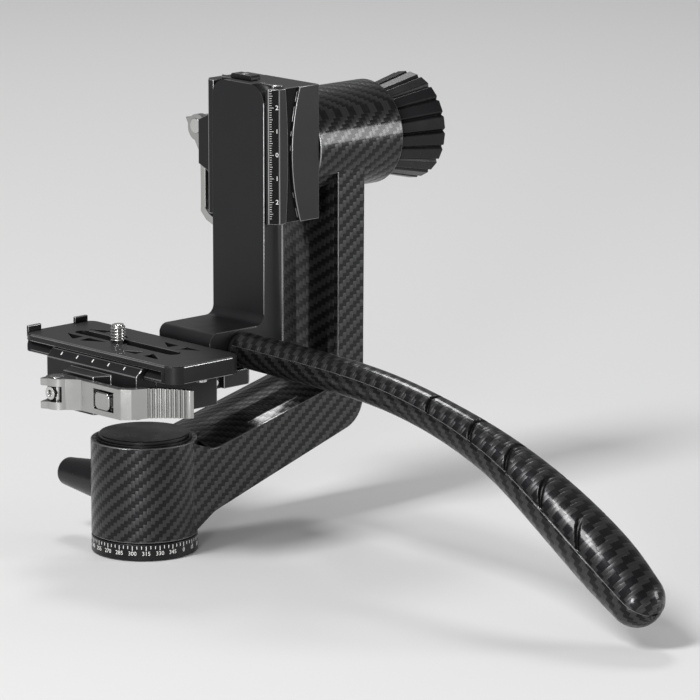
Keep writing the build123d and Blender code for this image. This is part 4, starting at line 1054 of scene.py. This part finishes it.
@dataclass
class Handle:
    """Curved carbon handle, in millimetres: a grooved upper shell over a slightly smaller lower shell.

    Each station is the Y, the Z and the radius of the tube there.
    """

    middle_x: float = 40.0
    stations: tuple[tuple[float, float, float], ...] = (
        (-18.4, 81.9, 7.7), (-50.0, 81.3, 7.8), (-80.0, 80.3, 7.8), (-104.0, 78.4, 7.8),
        (-126.0, 74.9, 7.9), (-145.0, 70.5, 8.3), (-160.0, 66.1, 8.9), (-175.0, 60.6, 9.7),
        (-190.0, 53.6, 10.9), (-205.0, 45.5, 12.0), (-220.0, 36.6, 12.7), (-233.0, 28.2, 12.7),
        (-246.0, 19.0, 11.5),
    )
    row_gap: float = 0.35
    nose_rows: int = 26
    nose_trim: float = 0.998
    least_radius: float = 0.05
    upper: HalfShell = HalfShell("handle_upper_cloth", "handle_upper_shell", 0.0, 84, True, 3.6, 1.0)
    lower: HalfShell = HalfShell("handle_lower_cloth", "handle_lower_shell", 0.45, 76, False, 8.0, 0.7)
    upper_end_radius: float = 3.6
    swell: float = 0.05
    wall: float = 2.4
    wall_columns: int = 14
    seam_rise: float = 3.0
    seam_sine: Span = (-1.0, 0.999)
    rim_shares: tuple[float, ...] = (0.0, 0.004, 0.009, 0.015, 0.022, 0.032)
    rim_end: float = 0.045
    lip: float = 0.4
    lip_share: float = 0.015
    lip_columns: int = 3
    grooves: tuple[float, ...] = (-136.2, -161.6, -183.5, -204.8, -226.2)
    groove_depth: float = 0.95
    groove_width: float = 1.6
    groove_lean: float = math.radians(20.0)
    groove_shoulder: float = 0.4
    groove_fade: int = 6
    # painted shade: how strongly the grooves are darkened
    groove_shade_gain: float = 1.5
    smooth: float = 50.0
    run: np.ndarray = field(init=False)
    centre: np.ndarray = field(init=False)
    radius: np.ndarray = field(init=False)
    ahead: np.ndarray = field(init=False)

    def __post_init__(self) -> None:
        """Smooth centre line and radius, then a round nose: the radius falls as a circle's does."""
        knots = np.array(self.stations)
        chord = np.concatenate([[0.0], np.cumsum(np.hypot(*np.diff(knots[:, :2], axis=0).T))])
        run = np.append(np.arange(0.0, chord[-1], self.row_gap), chord[-1])
        values = np.stack([self.spline(chord, column, run) for column in knots.T], axis=-1)
        tangent = np.gradient(values[:, :2], run, axis=0)
        tangent /= np.linalg.norm(tangent, axis=1, keepdims=True)
        last, nose_radius = values[-1, :2], values[-1, 2]
        turn = np.linspace(0.0, math.pi / 2, self.nose_rows)[1:]
        nose = last + np.outer(self.nose_trim * nose_radius * np.sin(turn), tangent[-1])
        self.run = np.concatenate([run, chord[-1] + nose_radius * turn])
        self.centre = np.concatenate([values[:, :2], nose])
        self.radius = np.concatenate([values[:, 2], nose_radius * np.cos(turn)])
        self.ahead = np.concatenate([tangent, np.repeat(tangent[-1:], len(turn), axis=0)])

    @staticmethod
    def spline(knots: np.ndarray, values: np.ndarray, at: np.ndarray) -> np.ndarray:
        """Natural cubic spline through the knots.

        Args:
            knots: Rising places.
            values: Value at each place.
            at: Places to read.

        Returns:
            The spline's value at each place.
        """
        gap, count = np.diff(knots), len(knots)
        system, target = np.eye(count), np.zeros(count)
        inner = np.arange(1, count - 1)
        system[inner, inner - 1] = gap[:-1]
        system[inner, inner] = 2 * (gap[:-1] + gap[1:])
        system[inner, inner + 1] = gap[1:]
        target[1:-1] = 6 * np.diff(np.diff(values) / gap)
        bend = np.linalg.solve(system, target)
        cell = np.clip(np.searchsorted(knots, at) - 1, 0, count - 2)
        left, right, size = at - knots[cell], knots[cell + 1] - at, gap[cell]
        return ((bend[cell] * right**3 + bend[cell + 1] * left**3) / (6 * size)
                + (values[cell] / size - bend[cell] * size / 6) * right
                + (values[cell + 1] / size - bend[cell + 1] * size / 6) * left)

    def surface(self, low: np.ndarray, high: np.ndarray, inset: float,
                columns: int) -> tuple[np.ndarray, np.ndarray]:
        """Points of the tube between two angles at each row: centre plus radius times (cos, sin) across it.

        Args:
            low: First angle at each row, from the X direction.
            high: Last angle at each row.
            inset: How far in from the full radius.
            columns: Points across, closer together at both rims.

        Returns:
            Points in millimetres and the angle of each.
        """
        rim = np.array(self.rim_shares)
        middle = np.linspace(self.rim_end, 1.0 - self.rim_end, columns - 2 * len(rim))
        share = np.concatenate([rim, middle, 1.0 - rim[::-1]])
        angle = low[:, None] + (high - low)[:, None] * share
        turned = 1 - np.clip(np.minimum(share, 1 - share) / self.lip_share, 0.0, 1.0)
        radius = np.maximum(self.radius[:, None] - inset - self.lip * turned**2, self.least_radius)
        x = self.middle_x + radius * np.cos(angle)
        y = self.centre[:, :1] + radius * np.sin(angle) * self.ahead[:, 1:]
        z = self.centre[:, 1:] - radius * np.sin(angle) * self.ahead[:, :1]
        return np.stack([x, y, z], axis=-1), angle

    def seam_angle(self, inset: float) -> np.ndarray:
        """Angle above the horizontal at which the seam cuts the tube, at each row."""
        rise = self.seam_rise * np.abs(self.ahead[:, 0])
        return np.arcsin(np.clip(rise / np.maximum(self.radius - inset, self.least_radius), *self.seam_sine))

    def groove_cut(self, points: np.ndarray) -> np.ndarray:
        """How much of the full depth is cut, from the distance to each groove's leaning plane.

        Args:
            points: Points of the uncut surface.

        Returns:
            One inside a groove and nothing outside, with a soft shoulder, fading out at the tube's top.
        """
        cut = np.zeros(points.shape[:2])
        ahead, up = math.cos(self.groove_lean), math.sin(self.groove_lean)
        for place in self.grooves:
            row = int(np.argmin(np.abs(self.centre[:, 0] - place)))
            height = points[..., 2] - (self.centre[row, 1] + self.seam_rise)
            off = np.abs((points[..., 1] - place) * ahead - height * up)
            fade = 1.0 - np.clip(height / self.radius[row], 0.0, 1.0)**self.groove_fade
            inside = ((self.groove_width + self.groove_shoulder) / 2 - off) / self.groove_shoulder
            cut = np.maximum(cut, fade * np.clip(inside, 0.0, 1.0))
        return cut

    def finish_grooves(self, mesh: bpy.types.Mesh, groove_shade: np.ndarray, columns: int) -> None:
        """Note how much painted shade each point gets in a groove, and give the lips along the seam the
        painted edge highlight.

        Args:
            mesh: The upper shell.
            groove_shade: One in a groove and nothing outside, for each row and each point round it.
            columns: Points across the outer face, which come first in a row.
        """
        mesh.attributes.new("groove_shade", "FLOAT", "POINT").data.foreach_set("value", groove_shade.reshape(-1))
        lids = 2
        quads = np.arange(len(mesh.polygons) - lids) * 4
        column = fetch(mesh.loops, "vertex_index", kind=int)[quads] % groove_shade.shape[1]
        far = columns - 1
        lip = (column < self.lip_columns) | ((column >= far - self.lip_columns) & (column < far))
        # painted highlight: the lip faces along the seam get a light grey
        mesh.materials.append(Look.CARBON_EDGE_HIGHLIGHT.material())
        mesh.polygons.foreach_set("material_index", np.append(lip, [False] * lids).astype(int))

    def shell(self, half: HalfShell, low: np.ndarray, high: np.ndarray, rows: slice) -> None:
        """Closed shell between two angles: an outer face, an inner face and the rims that join them.

        Args:
            half: How this half is made.
            low: First angle at each row.
            high: Last angle at each row.
            rows: The rows that it covers.
        """
        outer, angle = self.surface(low, high, half.inset, half.columns)
        if half.grooved:
            cut = self.groove_cut(outer)
            floor, _ = self.surface(low, high, half.inset + self.groove_depth, half.columns)
            outer = outer + cut[..., None] * (floor - outer)
        inner, back = self.surface(high, low, self.wall, self.wall_columns)
        ring = np.concatenate([outer, inner], axis=1)[rows]
        count, width = ring.shape[:2]
        made = piece(half.name, ring.reshape(-1, 3) * MM, tube_faces(count, width), Look.CARBON, "rail",
                     self.smooth)
        mesh = made.data
        corner = fetch(mesh.loops, "vertex_index", kind=int)
        turn = np.concatenate([angle, back], axis=1)[rows]
        across = (turn * half.stretch * MM).reshape(-1)[corner]
        slack = 1.0 + self.swell * np.maximum(self.radius - self.radius[0], 0.0)
        length = np.cumsum(np.diff(self.run, prepend=self.run[0]) / slack)
        along = np.repeat(length[rows] * half.pull * MM, width)[corner]
        layer = mesh.uv_layers.new(name="cloth")
        layer.data.foreach_set("uv", np.stack([along, across], axis=-1).reshape(-1))
        if half.grooved:
            # painted shade: points in a groove get a darker colour through this attribute
            groove_shade = np.concatenate([np.clip(cut * self.groove_shade_gain, 0, 1), np.zeros(back.shape)], axis=1)[rows]
            self.finish_grooves(mesh, groove_shade, half.columns)
        work = bmesh.new()
        work.from_mesh(mesh)
        bmesh.ops.recalc_face_normals(work, faces=work.faces)
        work.to_mesh(mesh)
        work.free()
        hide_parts(half.node)

    def build(self) -> None:
        """Make both shells and dress the other solids."""
        seam = self.seam_angle(self.upper.inset)
        nose = len(self.radius) - self.nose_rows
        end = nose + int(np.argmax(self.radius[nose:] < self.upper_end_radius))
        self.shell(self.upper, seam, math.pi - seam, slice(0, end))
        seam = self.seam_angle(self.lower.inset)
        self.shell(self.lower, math.pi - seam, 2 * math.pi + seam, slice(0, len(self.run) - 1))
        dress(Look.CORE, "handle_core")
        dress(Look.STEEL, "handle_stud")
        dress(Look.BLACK, "handle_collar")


# ---- studio ----

@dataclass(frozen=True)
class Lamp:
    """Soft box at a place, aimed at a point, with a width and a height in metres and a power in watts."""

    name: str
    place: tuple[float, float, float]
    aim: tuple[float, float, float]
    size: Span
    power: float

    def light(self) -> None:
        """Hang the lamp."""
        data = bpy.data.lights.new(self.name, "AREA")
        data.shape, data.energy = "RECTANGLE", self.power
        data.size, data.size_y = self.size
        made = placed(self.name, data)
        made.location = self.place
        made.rotation_euler = (Vector(self.aim) - Vector(self.place)).to_track_quat("-Z", "Y").to_euler()


@dataclass
class Studio:
    """Pale floor, soft lights and the camera."""

    azimuth: float = math.radians(-43.12)
    pitch: float = math.radians(12.27)
    eye: tuple[float, float, float] = (-1.3262, -1.5421, 0.5270)
    sensor: float = 36.0
    focal_share: float = 5000.0 / 700.0
    clip: Span = (0.05, 50.0)
    floor_half: float = 6.0
    floor_drop: float = 0.2 * MM
    floor_tone: float = 0.72
    floor_roughness: float = 0.9
    floor_specular: float = 0.1
    world_strength: float = 0.25
    lamps: tuple[Lamp, ...] = (
        Lamp("key", (-1.42, 0.0, 1.85), (0.03, -0.05, 0.1), (0.55, 0.75), 38.0),
        Lamp("side", (-1.6, -1.15, 0.3), (0.03, -0.05, 0.08), (0.3, 0.55), 20.0),
        Lamp("front", (1.5, -1.65, 0.42), (0.05, -0.08, 0.1), (0.5, 0.7), 16.0),
        Lamp("rim", (0.95, 1.1, 1.86), (0.03, 0.0, 0.1), (0.5, 0.5), 14.0),
    )

    def camera(self) -> None:
        """Long lens at the front left, a little above the head, with a level horizon."""
        side, tilt = self.azimuth, self.pitch
        forward = -Vector((math.sin(side) * math.cos(tilt), -math.cos(side) * math.cos(tilt), math.sin(tilt)))
        right = Vector((math.cos(side), math.sin(side), 0.0))
        data = bpy.data.cameras.new("camera")
        data.lens, data.sensor_width, data.sensor_fit = self.focal_share * self.sensor, self.sensor, "AUTO"
        data.clip_start, data.clip_end = self.clip
        made = placed("camera", data)
        turn = Matrix((right, right.cross(forward), -forward)).transposed().to_4x4()
        made.matrix_world = Matrix.Translation(Vector(self.eye)) @ turn
        bpy.context.scene.camera = made

    def floor(self) -> None:
        """Wide pale sheet under the head."""
        mesh = bpy.data.meshes.new("floor")
        corners = [(x * self.floor_half, y * self.floor_half, -self.floor_drop)
                   for x, y in ((-1, -1), (1, -1), (1, 1), (-1, 1))]
        mesh.from_pydata(corners, [], [(0, 1, 2, 3)])
        made = placed("floor", mesh)
        look = bpy.data.materials.new("floor paper")
        look.use_nodes = True
        Graph(look.node_tree).feed(look.node_tree.nodes["Principled BSDF"], {
            "Base Color": (self.floor_tone, self.floor_tone, self.floor_tone, 1.0),
            "Roughness": self.floor_roughness, "Specular IOR Level": self.floor_specular})
        mesh.materials.append(look)

    def world(self) -> None:
        """Even pale world."""
        world = bpy.data.worlds.new("studio")
        world.use_nodes = True
        world.node_tree.nodes.clear()
        graph = Graph(world.node_tree)
        back = graph.add("ShaderNodeBackground", {"Color": (1.0, 1.0, 1.0, 1.0),
                                                  "Strength": self.world_strength})
        graph.add("ShaderNodeOutputWorld", {0: back.outputs[0]})
        bpy.context.scene.world = world

    def build(self) -> None:
        """Set the whole studio."""
        bpy.context.scene.view_settings.view_transform = "Standard"
        self.camera()
        self.floor()
        self.world()
        for lamp in self.lamps:
            lamp.light()


def main() -> None:
    """Build every sub-assembly, then the studio."""
    logging.basicConfig(level=logging.INFO, format="%(name)s %(message)s")
    for assembly in (PanBase(), Arm(), Tilt(), UpperClamp(), LowerClamp(), Bracket(), CameraPlate(), Handle(),
                     Studio()):
        assembly.build()
        LOG.info("built %s", type(assembly).__name__)


if __name__ == "__main__":
    main()
